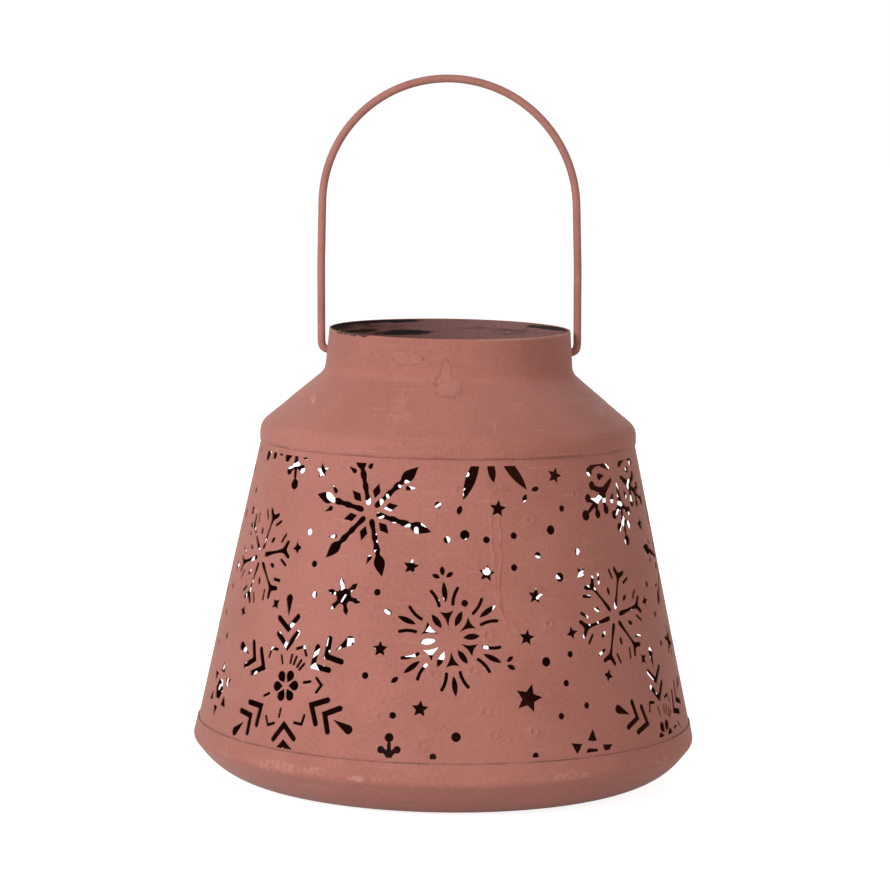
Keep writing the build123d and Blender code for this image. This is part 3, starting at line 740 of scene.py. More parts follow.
class Skin:
    """Points, faces and corner directions gathered for one mesh."""

    def __init__(self, name: str) -> None:
        """Start an empty skin.

        Args:
            name: name of the object to be made.
        """
        self.name = name
        self.points: list[np.ndarray] = []
        self.total = 0
        self.corners: list[np.ndarray] = []
        self.sizes: list[np.ndarray] = []
        self.normals: list[np.ndarray] = []
        self.coats: list[np.ndarray] = []

    def put(self, points: np.ndarray) -> np.ndarray:
        """Add points.

        Args:
            points: rows in millimetres.

        Returns:
            Their numbers.
        """
        self.points.append(np.asarray(points, float))
        self.total += len(points)
        return np.arange(self.total - len(points), self.total)

    def face(self, corners: np.ndarray, normals: np.ndarray, coat: Coat) -> None:
        """Add faces that all have the same number of corners.

        Args:
            corners: rows of point numbers.
            normals: a direction for each corner.
            coat: side of the tin.
        """
        count, size = corners.shape
        self.corners.append(corners.reshape(-1))
        self.sizes.append(np.full(count, size))
        self.normals.append(normals.reshape(-1, 3))
        self.coats.append(np.full(count, int(coat)))

    def finish(self, materials: list[bpy.types.Material]) -> bpy.types.Object:
        """Make the mesh object.

        Args:
            materials: one for each coat.

        Returns:
            The object, at the origin.
        """
        mesh = bpy.data.meshes.new(self.name)
        sizes = np.concatenate(self.sizes)
        used, corners = np.unique(np.concatenate(self.corners), return_inverse=True)
        points = np.concatenate(self.points)[used] * MM
        mesh.vertices.add(len(points))
        mesh.vertices.foreach_set("co", points.astype(np.float32).ravel())
        mesh.loops.add(len(corners))
        mesh.loops.foreach_set("vertex_index", corners.astype(np.int32))
        mesh.polygons.add(len(sizes))
        begins = np.cumsum(sizes) - sizes
        mesh.polygons.foreach_set("loop_start", begins.astype(np.int32))
        mesh.polygons.foreach_set("material_index", np.concatenate(self.coats).astype(np.int32))
        mesh.polygons.foreach_set("use_smooth", np.ones(len(sizes), bool))
        mesh.update(calc_edges=True)
        for material in materials:
            mesh.materials.append(material)
        mesh.normals_split_custom_set(np.concatenate(self.normals).tolist())
        made = bpy.data.objects.new(self.name, mesh)
        bpy.context.scene.collection.objects.link(made)
        log.info("%s: %d points, %d faces", self.name, len(points), len(sizes))
        return made


@dataclass
class PunchedSheet:
    """Sheet of tin with bevelled holes, laid on a surface."""

    name: str
    surface: Surface
    border: np.ndarray
    outlines: list[np.ndarray]
    fill: np.ndarray
    welded: bool = False
    thickness: float = 0.5
    bevel: float = 0.13
    bevel_tries: int = 5
    bevel_cut: float = 0.4
    crossing_reach: float = 0.4
    crossing_share: float = 2.5
    border_slack: float = 0.002
    edge_steps: int = 4
    weld_reach: float = 1e-3

    def _crossings(self, flat: np.ndarray, origins: list[list[int]], rings: list[np.ndarray]) -> np.ndarray:
        """Rings that cross or touch one another, found near the points that stand for several.

        Args:
            flat: points of the triangulated sheet.
            origins: for each of them, the given points that it stands for.
            rings: the holes' outlines.

        Returns:
            Numbers of the rings.
        """
        owner = np.repeat(np.arange(len(rings)), [len(ring) for ring in rings])
        spots = np.concatenate(rings)
        shared = flat[np.array([len(sources) for sources in origins]) != 1]
        away = np.hypot(*(spots[None] - shared[:, None]).transpose(2, 0, 1))
        limit = np.maximum(self.crossing_share * away.min(1), self.crossing_reach)
        return np.unique(owner[np.any(away < limit[:, None], axis=0)])

    def mesh(self) -> Skin:
        """Triangulate the flat sheet, lift both faces and close the holes and the edges.

        The outer face follows the surface; the inner face lies one thickness under it. Each hole is
        widened by the bevel on the outer face and joined to the inner face by a bevel and a wall.

        Returns:
            The gathered skin.
        """
        starts = np.cumsum([len(self.border)] + [len(outline) for outline in self.outlines])
        edges = np.concatenate([ring_edges(len(self.border), 0)]
                               + [ring_edges(len(o), s) for o, s in zip(self.outlines, starts)])
        bevels = np.full(len(self.outlines), self.bevel)
        for _ in range(self.bevel_tries):
            rings = [widened(outline, bevel) for outline, bevel in zip(self.outlines, bevels)]
            given = np.concatenate([self.border, *rings, self.fill])
            flat, triangles, origins = triangulate(given, edges)
            tight = self._crossings(flat, origins, rings)
            if not len(tight):
                break
            bevels[tight] *= self.bevel_cut
        log.info("%s: %d holes have a slighter bevel", self.name, np.sum(bevels < self.bevel))
        number = np.zeros(len(given), int)
        shares = [len(sources) for sources in origins]
        number[np.concatenate(origins).astype(int)] = np.repeat(np.arange(len(origins)), shares)
        middles = flat[triangles].mean(1)
        keep = inside(middles, widened(self.border, -self.border_slack))
        for ring in rings:
            keep &= ~inside(middles, ring)
        triangles, twice_area = wound(flat, triangles[keep])
        triangles = triangles[twice_area > TINY]
        same = self._welded(flat) if self.welded else np.arange(len(flat))

        skin = Skin(self.name)
        normal = self.surface.normal(flat)
        inner_flat = flat.copy()
        holes = [number[start:start + len(outline)] for outline, start in zip(self.outlines, starts)]
        for outline, ids in zip(self.outlines, holes):
            inner_flat[ids] = outline
        outer_points = self.surface.outer(flat)
        top = skin.put(outer_points)[same]
        under = skin.put(self.surface.at(inner_flat, self.thickness))[same]
        skin.face(top[triangles], normal[triangles], Coat.OUTSIDE)
        back = triangles[:, ::-1]
        skin.face(under[back], -normal[back], Coat.INSIDE)
        for outline, ids in zip(self.outlines, holes):
            self._wall(skin, outline, normal[ids], top[ids], under[ids])
        rim = number[:len(self.border)]
        self._edges(skin, outer_points[rim], normal[rim], top[rim], under[rim])
        return skin

    def _wall(self, skin: Skin, outline: np.ndarray, normal: np.ndarray, top: np.ndarray,
              under: np.ndarray) -> None:
        """Bevel and wall of one hole, which face into the hole.

        Args:
            skin: where the faces go.
            outline: the hole on the flat sheet.
            normal: outward directions along it.
            top: numbers of its points on the outer face.
            under: numbers of its points on the inner face.
        """
        spots = self.surface.at(outline, self.bevel)
        middle = skin.put(spots)
        along = np.roll(spots, -1, axis=0) - np.roll(spots, 1, axis=0)
        into = np.cross(normal, along)
        into /= np.maximum(np.linalg.norm(into, axis=1), TINY)[:, None]
        after = np.roll(np.arange(len(outline)), -1)
        quads = np.stack([top, top[after], middle[after], middle], 1)
        skin.face(quads, np.stack([normal, normal[after], into[after], into], 1), Coat.OUTSIDE)
        quads = np.stack([middle, middle[after], under[after], under], 1)
        skin.face(quads, np.stack([into, into[after], into[after], into], 1), Coat.OUTSIDE)

    def _edges(self, skin: Skin, outer: np.ndarray, normal: np.ndarray, top: np.ndarray,
               under: np.ndarray) -> None:
        """Round the cut edges of the sheet, by a half turn in steps from its outer to its inner face.

        Args:
            skin: where the faces go.
            outer: points of the border on the outer face.
            normal: outward directions there.
            top: numbers of the border's points on the outer face.
            under: numbers of the border's points on the inner face.
        """
        after = np.roll(np.arange(len(outer)), -1)
        used = np.arange(len(outer))
        along = np.roll(outer, -1, axis=0) - np.roll(outer, 1, axis=0)
        if self.welded:
            turn = np.stack([-outer[:, 1], outer[:, 0], np.zeros(len(outer))], 1)
            upper = self.border[:, 1] > self.border[:, 1].mean()
            along = np.where(upper[:, None], -turn, turn)
            used = used[~np.isclose(self.border[:, 0], self.border[after][:, 0])]
        nxt = after[used]
        out = np.cross(along, normal)
        out /= np.linalg.norm(out, axis=1)[:, None]
        before, facing = top, normal
        for k in range(1, self.edge_steps + 1):
            angle = math.pi * k / self.edge_steps
            ways = normal * math.cos(angle) + out * math.sin(angle)
            if k == self.edge_steps:
                here = under
            else:
                shift = out * math.sin(angle) - normal * (1.0 - math.cos(angle))
                here = skin.put(outer + shift * self.thickness / 2)
                if self.welded:
                    here = here[self._welded(self.border)]
            quads = np.stack([before[nxt], before[used], here[used], here[nxt]], 1)
            skin.face(quads, np.stack([facing[nxt], facing[used], ways[used], ways[nxt]], 1), Coat.OUTSIDE)
            before, facing = here, ways

    def _welded(self, flat: np.ndarray) -> np.ndarray:
        """Numbers of points, where those on the sheet's right side become their nearest on its left.

        Args:
            flat: places on the flat sheet.

        Returns:
            A number for each place.
        """
        same = np.arange(len(flat))
        right = np.where(flat[:, 0] > self.border[:, 0].max() - self.weld_reach)[0]
        left = np.where(flat[:, 0] < self.border[:, 0].min() + self.weld_reach)[0]
        apart = np.abs(flat[left, 1][None] - flat[right, 1][:, None])
        same[right] = left[np.argmin(apart, axis=1)]
        return same


@dataclass
class PaintRelief:
    """Thick paint on the body's front: a long run, filled dots and small lumps, in millimetres."""

    run_line: tuple = ((21.1, 109.5), (21.3, 105.0), (21.5, 95.7), (21.8, 85.0), (22.2, 78.6), (22.5, 74.0),
                       (22.9, 69.0), (24.1, 64.7), (26.9, 58.5))
    run_half: float = 1.9
    run_edge: float = 0.55
    run_height: float = 0.24
    run_bed: float = 0.3
    run_start: float = 4.0
    run_end: float = 6.0
    run_tip: float = 0.2
    run_taper: tuple[float, float] = (8.0, 36.0)
    long_wobble: tuple[float, float] = (0.35, 4.3)
    short_wobble: tuple[float, float] = (0.2, 1.7)
    filled: tuple = ((36.7, 105.3), (46.0, 61.0), (17.9, 22.8), (21.5, 12.7), (39.3, 14.7), (12.1, 40.0),
                     (-4.0, 38.2), (18.4, 55.4), (5.5, 117.0), (-9.0, 8.0), (-52.0, 46.0), (-50.5, 92.0),
                     (60.0, 118.0), (-27.0, 20.0))
    filled_radius: float = 1.7
    filled_depth: float = 0.3
    filled_ring: tuple[float, float] = (0.8, 0.28)
    filled_dish: tuple[float, float] = (0.7, 0.75)
    lumps: tuple = ((23.4, 71.5, 1.0), (22.4, 80.5, 0.8), (29.4, 60.0, 0.8), (31.0, 57.5, 1.0),
                    (13.0, 85.0, 1.2), (15.0, 75.0, 1.1), (19.5, 116.5, 0.8), (23.2, 118.9, 0.8),
                    (16.9, 120.5, 0.8), (20.8, 118.0, 0.7), (10.8, 110.2, 1.1), (18.1, 113.0, 0.8))
    lump_height: float = 0.3
    detail_up: float = 0.75
    detail_half: float = 3.4
    detail_across: int = 13
    detail_round: int = 14
    dot_rings: tuple = (0.4, 0.72, 0.9, 1.1, 1.4)
    lump_rings: tuple = (0.5, 1.0, 1.6)

    def run_x(self, up: np.ndarray) -> np.ndarray:
        """Middle of the run at a height on the flat sheet."""
        line = np.array(self.run_line)[::-1]
        return np.interp(up, line[:, 1], line[:, 0])

    def height(self, uv: np.ndarray) -> np.ndarray:
        """Height of the paint.

        The run is two raised edges either side of its wobbling middle line, which narrow towards its end; a
        filled dot is a ring with a shallow dish inside; a lump is a low round hill.

        Args:
            uv: places on the flat sheet.

        Returns:
            One height for each place.
        """
        x, y = uv[:, 0], uv[:, 1]
        high, low = self.run_line[0][1], self.run_line[-1][1]
        live = smooth(y, low, low + self.run_end) * (1.0 - smooth(y, high - self.run_start, high))
        taper = smooth(y, low + self.run_taper[0], low + self.run_taper[1])
        half = self.run_half * (self.run_tip + (1.0 - self.run_tip) * taper)
        away = x - self.run_x(y)
        for size, length in (self.long_wobble, self.short_wobble):
            away = away - size * np.sin(y / length)
        edges = np.exp(-(((np.abs(away) - half) / self.run_edge) ** 2))
        total = self.run_height * live * (edges + self.run_bed * (np.abs(away) < half))
        for px, py in self.filled:
            d = np.hypot(x - px, y - py) / self.filled_radius
            ring = self.filled_ring[0] * np.exp(-(((d - 1.0) / self.filled_ring[1]) ** 2))
            dish = self.filled_dish[0] * np.exp(-((d / self.filled_dish[1]) ** 4))
            total += self.filled_depth * (ring - dish)
        for px, py, size in self.lumps:
            total += self.lump_height * np.exp(-(((x - px) ** 2 + (y - py) ** 2) / size ** 2))
        return total

    def detail(self) -> np.ndarray:
        """Places where the mesh has to be fine enough to show the paint.

        Returns:
            Rows of flat places, closer together than the paint's own forms.
        """
        ups = np.arange(self.run_line[-1][1], self.run_line[0][1], self.detail_up)
        across = np.linspace(-self.detail_half, self.detail_half, self.detail_across)
        size, length = self.long_wobble
        x = self.run_x(ups)[:, None] + size * np.sin(ups / length)[:, None] + across[None]
        rows = [np.stack([x, np.broadcast_to(ups[:, None], x.shape)], -1).reshape(-1, 2)]
        circle = Punch.dot(1.0, self.detail_round)
        for *spot, size in [(*dot, self.filled_radius) for dot in self.filled]:
            rows += [np.array([spot]), *(spot + share * size * circle for share in self.dot_rings)]
        for *spot, size in self.lumps:
            rows += [np.array([spot]), *(spot + share * size * circle for share in self.lump_rings)]
        return np.concatenate(rows)


@dataclass
class Cone(Surface):
    """Rolled cone of the body: x and y on the flat sheet become slant length and turn."""

    low_radius: float = 112.4
    low_height: float = 25.8
    high_radius: float = 85.1
    high_height: float = 153.1
    seam_turn: float = 100.0
    lap_width: float = 6.0
    lap_sink: float = 0.54
    lap_rise: float = 1.6
    wave: float = 0.12
    wave_slant: float = 19.0
    calm_border: float = 25.0
    calm_seam: tuple[float, float] = (4.0, 16.0)
    relief: PaintRelief = field(default_factory=PaintRelief)

    def __post_init__(self) -> None:
        """Work out the slope, the slant lengths, the apex and the turn of the lap."""
        slope = (self.low_radius - self.high_radius) / (self.high_height - self.low_height)
        half = math.atan(slope)
        self.slope = slope
        self.sin_half = math.sin(half)
        self.cos_half = math.cos(half)
        self.slant_low = self.low_radius / self.sin_half
        self.slant_high = self.high_radius / self.sin_half
        self.apex = self.low_height + self.slant_low * self.cos_half
        self.lap_turn = math.degrees(self.lap_width / self.high_radius)

    def polar(self, uv: np.ndarray) -> tuple[np.ndarray, np.ndarray]:
        """Slant length from the apex and turn in degrees of places on the flat sheet."""
        down = self.slant_low - uv[:, 1]
        return np.hypot(uv[:, 0], down), np.degrees(np.arctan2(uv[:, 0], down)) / self.sin_half

    def flat(self, slant: np.ndarray, turn: np.ndarray) -> np.ndarray:
        """Places on the flat sheet of slant lengths and turns."""
        angle = np.radians(turn) * self.sin_half
        return np.stack([slant * np.sin(angle), self.slant_low - slant * np.cos(angle)], -1)

    def outer(self, uv: np.ndarray) -> np.ndarray:
        """Points of the cone, with its lap sunk under and a slight hand-rolled waviness.

        The radius is the slant length times the sine of the cone's half angle. The waviness is a sum of two
        sines of the turn, which fades out at both borders and at the seam; it, the sink of the lap and the
        paint lift a point along the normal.

        Args:
            uv: places on the flat sheet.

        Returns:
            Rows of x, y and z.
        """
        slant, turn = self.polar(uv)
        t = np.radians(turn)
        start = self.seam_turn - 360.0 + self.lap_turn / 2
        sink = self.lap_sink * (1.0 - smooth(turn, start - self.lap_rise, start))
        wave = self.wave * (np.sin(3.0 * t + 0.6) + 0.7 * np.sin(7.0 * t + slant / self.wave_slant))
        upper = smooth(slant, self.slant_high, self.slant_high + self.calm_border)
        lower = smooth(-slant, -self.slant_low, self.calm_border - self.slant_low)
        seam = np.minimum(self.seam_turn - turn, turn - self.seam_turn + 360.0)
        lift = wave * upper * lower * smooth(seam, *self.calm_seam) - sink + self.relief.height(uv)
        radius = slant * self.sin_half + lift * self.cos_half
        height = self.apex - slant * self.cos_half + lift * self.sin_half
        return np.stack([radius * np.sin(t), -radius * np.cos(t), height], 1)


@dataclass
class PunchedBody:
    """The punched cone: pattern, clipped at the bare borders, on the rolled sheet."""

    cone: Cone
    lap_low: float = 5.0
    lap_high: float = 4.2
    border_low: float = 2.3
    border_dip: float = 1.3
    dip_turn: float = -48.0
    dip_width: float = 24.0
    border_high: float = 3.0
    border_drop: float = 1.4
    drop_start: tuple[float, float] = (24.0, 36.0)
    drop_end: tuple[float, float] = (70.0, 90.0)
    border_seam: float = 5.0
    border_step: float = 0.6
    edge_bite: float = 0.9
    burr: float = 0.22
    shortest_side: float = 0.06
    smallest_hole: float = 0.25
    grid: float = 4.0
    grid_round: float = 0.75
    grid_margin: float = 0.5
    clear: float = 0.45
    detail_clear: float = 0.9
    detail_margin: tuple[float, float] = (5.0, 6.0)

    def foot(self, turn: np.ndarray) -> np.ndarray:
        """Slant length where the pan's collar cuts the pattern, lower at the left of the front."""
        dip = np.exp(-(((turn - self.dip_turn) / self.dip_width) ** 2))
        return self.cone.slant_low - self.border_low + self.border_dip * dip

    def head(self, turn: np.ndarray) -> np.ndarray:
        """Slant length where the shoulder's skirt cuts the pattern, lower at the right of the front."""
        drop = smooth(turn, *self.drop_start) * (1.0 - smooth(turn, *self.drop_end))
        return self.cone.slant_high + self.border_high + self.border_drop * drop

    def outlines(self) -> list[np.ndarray]:
        """Holes of the pattern as single outlines, overlaps joined and borders cut.

        Returns:
            Counter-clockwise outlines on the flat sheet.
        """
        cone = self.cone
        margin = math.degrees(self.border_seam / cone.high_radius)
        first, last = cone.seam_turn - 360.0 + margin, cone.seam_turn - margin
        shapes = []
        for shape in SnowPattern().lay_out():
            shape = widened(anticlockwise(shape), self.burr)
            slant, turn = cone.polar(shape)
            if turn.min() < first or turn.max() > last:
                continue
            if slant.max() < self.head(turn).mean() + self.edge_bite:
                continue
            if slant.min() > self.foot(turn).mean() - self.edge_bite:
                continue
            shapes.append(shape)
        turns = np.arange(first, last, self.border_step)
        lines = [cone.flat(self.head(turns), turns), cone.flat(self.foot(turns), turns)]
        points = np.concatenate(shapes + lines)
        starts = np.cumsum([0] + [len(s) for s in shapes])
        edges = [ring_edges(len(s), a) for s, a in zip(shapes, starts)]
        for k in range(2):
            base = starts[-1] + k * len(turns)
            edges.append(ring_edges(len(turns), base)[:-1])
        flat, triangles, _ = triangulate(points, np.concatenate(edges))
        triangles, _ = wound(flat, triangles)
        middles = flat[triangles].mean(1)
        slant, turn = cone.polar(middles)
        open_ = np.zeros(len(triangles), bool)
        for shape in shapes:
            open_ |= inside(middles, shape)
        open_ &= (slant > self.head(turn)) & (slant < self.foot(turn))
        return self._loops(flat, triangles[open_])

    def _loops(self, flat: np.ndarray, triangles: np.ndarray) -> list[np.ndarray]:
        """Outlines of the areas that triangles cover, walked along the sides that only one triangle has.

        Where several sides lead on from a point, the walk takes the one that bends most to the left.

        Args:
            flat: points of the sheet.
            triangles: rows of point numbers, wound anticlockwise.

        Returns:
            Closed outlines, without their shortest sides and the smallest holes.
        """
        count = len(flat)
        sides = np.concatenate([triangles[:, [0, 1]], triangles[:, [1, 2]], triangles[:, [2, 0]]])
        there = sides[:, 0] * count + sides[:, 1]
        back = sides[:, 1] * count + sides[:, 0]
        sides = sides[~np.isin(there, back)]
        onward: dict[int, list[int]] = {}
        for a, b in sides.tolist():
            onward.setdefault(a, []).append(b)
        loops = []
        while onward:
            start = next(iter(onward))
            loop, here, came = [], start, None
            while True:
                choices = onward[here]
                pick = 0
                if len(choices) > 1 and came is not None:
                    into = flat[here] - flat[came]
                    bends = [math.atan2(into[0] * w[1] - into[1] * w[0], into @ w)
                             for w in (flat[c] - flat[here] for c in choices)]
                    pick = int(np.argmax(bends))
                nxt = choices.pop(pick)
                if not choices:
                    del onward[here]
                loop.append(here)
                came, here = here, nxt
                if here == start:
                    break
            loops.append(flat[loop])
        kept = []
        for loop in loops:
            gap = np.hypot(*(loop - np.roll(loop, 1, axis=0)).T)
            loop = loop[gap > self.shortest_side]
            if len(loop) >= 3 and area(loop) > self.smallest_hole:
                kept.append(loop)
        return kept

    def build(self, materials: list[bpy.types.Material]) -> bpy.types.Object:
        """Make the body.

        Args:
            materials: one for each coat.

        Returns:
            The object.
        """
        cone = self.cone
        outlines = self.outlines()
        log.info("body: %d holes, %d outline points", len(outlines), sum(map(len, outlines)))
        bottom = cone.slant_low + self.lap_low / cone.cos_half
        top = cone.slant_high - self.lap_high / cone.cos_half
        first = cone.seam_turn - 360.0 - cone.lap_turn / 2
        last = cone.seam_turn + cone.lap_turn / 2 - cone.lap_rise
        step = math.degrees(self.grid * self.grid_round / cone.low_radius)
        turns = np.linspace(first, last, int((last - first) / step))
        slants = np.linspace(bottom, top, int((bottom - top) / self.grid))
        border = np.concatenate([
            cone.flat(np.full(len(turns), bottom), turns),
            cone.flat(slants[1:-1], np.full(len(slants) - 2, last)),
            cone.flat(np.full(len(turns), top), turns[::-1]),
            cone.flat(slants[1:-1][::-1], np.full(len(slants) - 2, first))])
        grid_turns = turns[1:-1:2]
        rows = []
        for k, slant in enumerate(slants[1:-1]):
            stagger = (k % 2) * (grid_turns[1] - grid_turns[0]) / 2
            row_turns = np.clip(grid_turns + stagger, first, last - self.grid_margin)
            rows.append(cone.flat(np.full(len(grid_turns), slant), row_turns))
        detail = cone.relief.detail()
        slant, _ = cone.polar(detail)
        high, low = self.detail_margin
        detail = detail[(slant > top + high) & (slant < bottom - low)]
        rows = np.concatenate(rows)
        gap = np.hypot(*(rows[:, None] - detail[None]).transpose(2, 0, 1)).min(1)
        fill = np.concatenate([rows[gap > self.detail_clear], detail])
        blocked = np.zeros(len(fill), bool)
        for outline in outlines:
            blocked |= inside(fill, widened(outline, self.clear))
        sheet = PunchedSheet("body_sheet", cone, border, outlines, fill[~blocked])
        return sheet.mesh().finish(materials)


@dataclass
class ShoulderSurface(Surface):
    """Spun shoulder and neck: length round the corner and length up the section."""

    skirt_radius: float = 85.64
    skirt_low: float = 153.1
    corner_height: float = 160.4
    corner_bend: float = 7.5
    root_radius: float = 56.5
    root_height: float = 184.5
    root_bend: float = 6.0
    rim_radius: float = 54.9
    rim_height: float = 203.7
    rim_tilt: float = 0.0253
    tilt_start: float = 8.0
    dent: float = 0.25
    dent_start: float = 4.0
    dent_full: float = 8.0
    bend_steps: int = 24

    def __post_init__(self) -> None:
        """Draw the section and measure the lengths along it."""
        corners = [(self.skirt_radius, self.skirt_low), (self.skirt_radius, self.corner_height),
                   (self.root_radius, self.root_height), (self.rim_radius, self.rim_height)]
        self.section = rounded(corners, [self.corner_bend, self.root_bend], self.bend_steps)
        steps = np.hypot(*np.diff(self.section, axis=0).T)
        self.lengths = np.concatenate([[0.0], np.cumsum(steps)])
        self.length = self.lengths[-1]

    def up_to(self, height: float) -> float:
        """Length up the section at a height."""
        return float(np.interp(height, self.section[:, 1], self.lengths))

    def outer(self, uv: np.ndarray) -> np.ndarray:
        """Points of the shoulder, with the rim tipped towards the front and slight dents.

        The section is turned about the axis. The dents are a sum of two sines of the turn on its radius,
        which fade in above the skirt, and the tip adds a share of y to the height of the neck.

        Args:
            uv: rows of the two lengths.

        Returns:
            Rows of x, y and z.
        """
        t = uv[:, 0] / self.skirt_radius
        up = uv[:, 1]
        radius = np.interp(up, self.lengths, self.section[:, 0])
        height = np.interp(up, self.lengths, self.section[:, 1])
        past = np.maximum(up - self.length, 0.0) + np.minimum(up, 0.0)
        height = height + past
        rise = smooth(height, self.root_height - self.tilt_start, self.rim_height)
        dents = np.sin(2.0 * t + 0.4) + 0.6 * np.sin(5.0 * t + height / 11.0)
        fade = smooth(height, self.skirt_low + self.dent_start, self.corner_height + self.dent_full)
        radius = radius + self.dent * dents * fade
        y = -radius * np.cos(t)
        return np.stack([radius * np.sin(t), y, height + self.rim_tilt * y * rise], 1)


@dataclass
class ShoulderNeck:
    """Shoulder with its open neck and two pivot holes."""

    surface: ShoulderSurface
    pivot_height: float = 193.6
    pivot_radius: float = 2.25
    pivot_steps: int = 24
    pivot_clear: float = 0.8
    grid_round: float = 3.0
    grid_up: float = 1.6

    def build(self, materials: list[bpy.types.Material]) -> bpy.types.Object:
        """Make the shoulder.

        Args:
            materials: one for each coat.

        Returns:
            The object.
        """
        face = self.surface
        half = math.pi * face.skirt_radius
        rounds = np.linspace(-half, half, int(2 * half / self.grid_round))
        ups = np.linspace(0.0, face.length, int(face.length / self.grid_up))
        border = np.concatenate([
            np.stack([rounds, np.zeros(len(rounds))], 1),
            np.stack([np.full(len(ups) - 2, half), ups[1:-1]], 1),
            np.stack([rounds[::-1], np.full(len(rounds), face.length)], 1),
            np.stack([np.full(len(ups) - 2, -half), ups[1:-1][::-1]], 1)])
        up = face.up_to(self.pivot_height)
        neck = float(np.interp(up, face.lengths, face.section[:, 0]))
        holes = []
        for side in (-1.0, 1.0):
            ring = Punch.dot(self.pivot_radius, self.pivot_steps) * [face.skirt_radius / neck, 1.0]
            holes.append(ring + [side * half / 2, up])
        grid = np.stack(np.meshgrid(rounds[1:-1], ups[1:-1]), -1).reshape(-1, 2)
        blocked = np.zeros(len(grid), bool)
        for ring in holes:
            blocked |= inside(grid, widened(ring, self.pivot_clear))
        sheet = PunchedSheet("shoulder_sheet", face, border, holes, grid[~blocked], welded=True)
        return sheet.mesh().finish(materials)


@dataclass
class BasePan:
    """Spun pan as a turned section, outside and inside."""

    floor_radius: float = 101.0
    floor_bend: float = 33.0
    taper_angle: float = 51.3
    lip_bend: float = 4.0
    edge_height: float = 25.8
    thickness: float = 0.5
    collar_clear: float = 0.04
    spokes: int = 240
    bend_steps: int = 20
    floor_steps: int = 10
    dent: float = 0.22
    dent_low: tuple[float, float] = (3.0, 14.0)
    dent_high: tuple[float, float] = (19.0, 25.0)
    pole: float = 1e-6

    def section(self, cone: Cone) -> tuple[np.ndarray, np.ndarray]:
        """Outer and inner lines of the pan's section, from the axis to the collar's edge.

        The lip is where the tapered side meets the line of the collar, which follows the cone. The inner
        line is the outer one moved along its normals by the thickness.

        Args:
            cone: the body that the collar grips.

        Returns:
            Both lines, as rows of radius and height.
        """
        grip = (self.collar_clear + self.thickness) / cone.cos_half
        collar = cone.low_radius + (cone.low_height - self.edge_height) * cone.slope + grip
        taper = math.tan(math.radians(self.taper_angle))
        spare = collar + self.edge_height * cone.slope - self.floor_radius
        lip_height = spare * taper / (1.0 + cone.slope * taper)
        lip_radius = self.floor_radius + lip_height / taper
        corners = [(0.0, 0.0), (self.floor_radius, 0.0), (lip_radius, lip_height),
                   (collar, self.edge_height)]
        outer = rounded(corners, [self.floor_bend, self.lip_bend], self.bend_steps)
        step = np.gradient(outer, axis=0)
        step /= np.hypot(step[:, 0], step[:, 1])[:, None]
        inner = outer + np.stack([-step[:, 1], step[:, 0]], 1) * self.thickness
        inner[0, 0] = 0.0
        return outer, inner

    def build(self, cone: Cone, materials: list[bpy.types.Material]) -> bpy.types.Object:
        """Make the pan.

        Args:
            cone: the body that the collar grips.
            materials: one for each coat.

        Returns:
            The object.
        """
        outer, inner = map(self._dense, self.section(cone))
        middle = (outer[-1] + inner[-1]) / 2
        up = outer[-1] - outer[-2]
        up /= np.hypot(*up)
        edge = middle + up * self.thickness / 2
        skin = Skin("pan_sheet")
        rows = self._turn(np.concatenate([outer, [edge], inner[::-1]]))
        self._lathe(skin, rows, len(outer))
        return skin.finish(materials)

    def _dense(self, line: np.ndarray) -> np.ndarray:
        """Line with its long flat start divided."""
        first = line[0] + (line[1] - line[0]) * np.linspace(0.0, 1.0, self.floor_steps)[:, None]
        return np.concatenate([first, line[2:]])

    def _turn(self, line: np.ndarray) -> np.ndarray:
        """Section turned about the axis; a sum of two sines of the turn puts slight dents in its side.

        Args:
            line: rows of radius and height.

        Returns:
            A row of points round the axis for each of them.
        """
        t = np.arange(self.spokes) * math.tau / self.spokes
        radius, height = line[:, 0][:, None], line[:, 1][:, None]
        side = smooth(height, *self.dent_low) * (1.0 - smooth(height, *self.dent_high))
        dents = np.sin(3.0 * t + 1.0) + 0.6 * np.sin(8.0 * t + 0.3)
        radius = radius + self.dent * side * dents[None]
        return np.stack([radius * np.sin(t), -radius * np.cos(t), np.broadcast_to(height, radius.shape)], -1)

    def _lathe(self, skin: Skin, rows: np.ndarray, rim: int) -> None:
        """Quads between rows of points, and a fan where a row shrinks to the axis.

        Args:
            skin: where the faces go.
            rows: rows of points round the axis.
            rim: number of the row after which the inside begins.
        """
        along = np.gradient(rows, axis=0)
        across = np.roll(rows, -1, axis=1) - np.roll(rows, 1, axis=1)
        ways = np.cross(across, along)
        size = np.linalg.norm(ways, axis=2)[..., None]
        ways = np.where(size > TINY, ways / np.maximum(size, TINY), 0.0)
        poles = np.hypot(rows[:, 0, 0], rows[:, 0, 1]) < self.pole
        for end, beside in ((0, 1), (-1, -2)):
            if poles[end]:
                ways[end] = ways[beside]
        after = np.roll(np.arange(self.spokes), -1)
        numbers = []
        for row, pole in zip(rows, poles):
            spot = skin.put(row[:1] if pole else row)
            numbers.append(np.repeat(spot, self.spokes) if pole else spot)
        for k in range(len(rows) - 1):
            low, high = numbers[k], numbers[k + 1]
            quads = np.stack([low, low[after], high[after], high], 1)
            corner = np.stack([ways[k], ways[k][after], ways[k + 1][after], ways[k + 1]], 1)
            if poles[k]:
                quads, corner = quads[:, [0, 2, 3]], corner[:, [0, 2, 3]]
            elif poles[k + 1]:
                quads, corner = quads[:, :3], corner[:, :3]
            skin.face(quads, corner, Coat.OUTSIDE if k < rim else Coat.INSIDE)


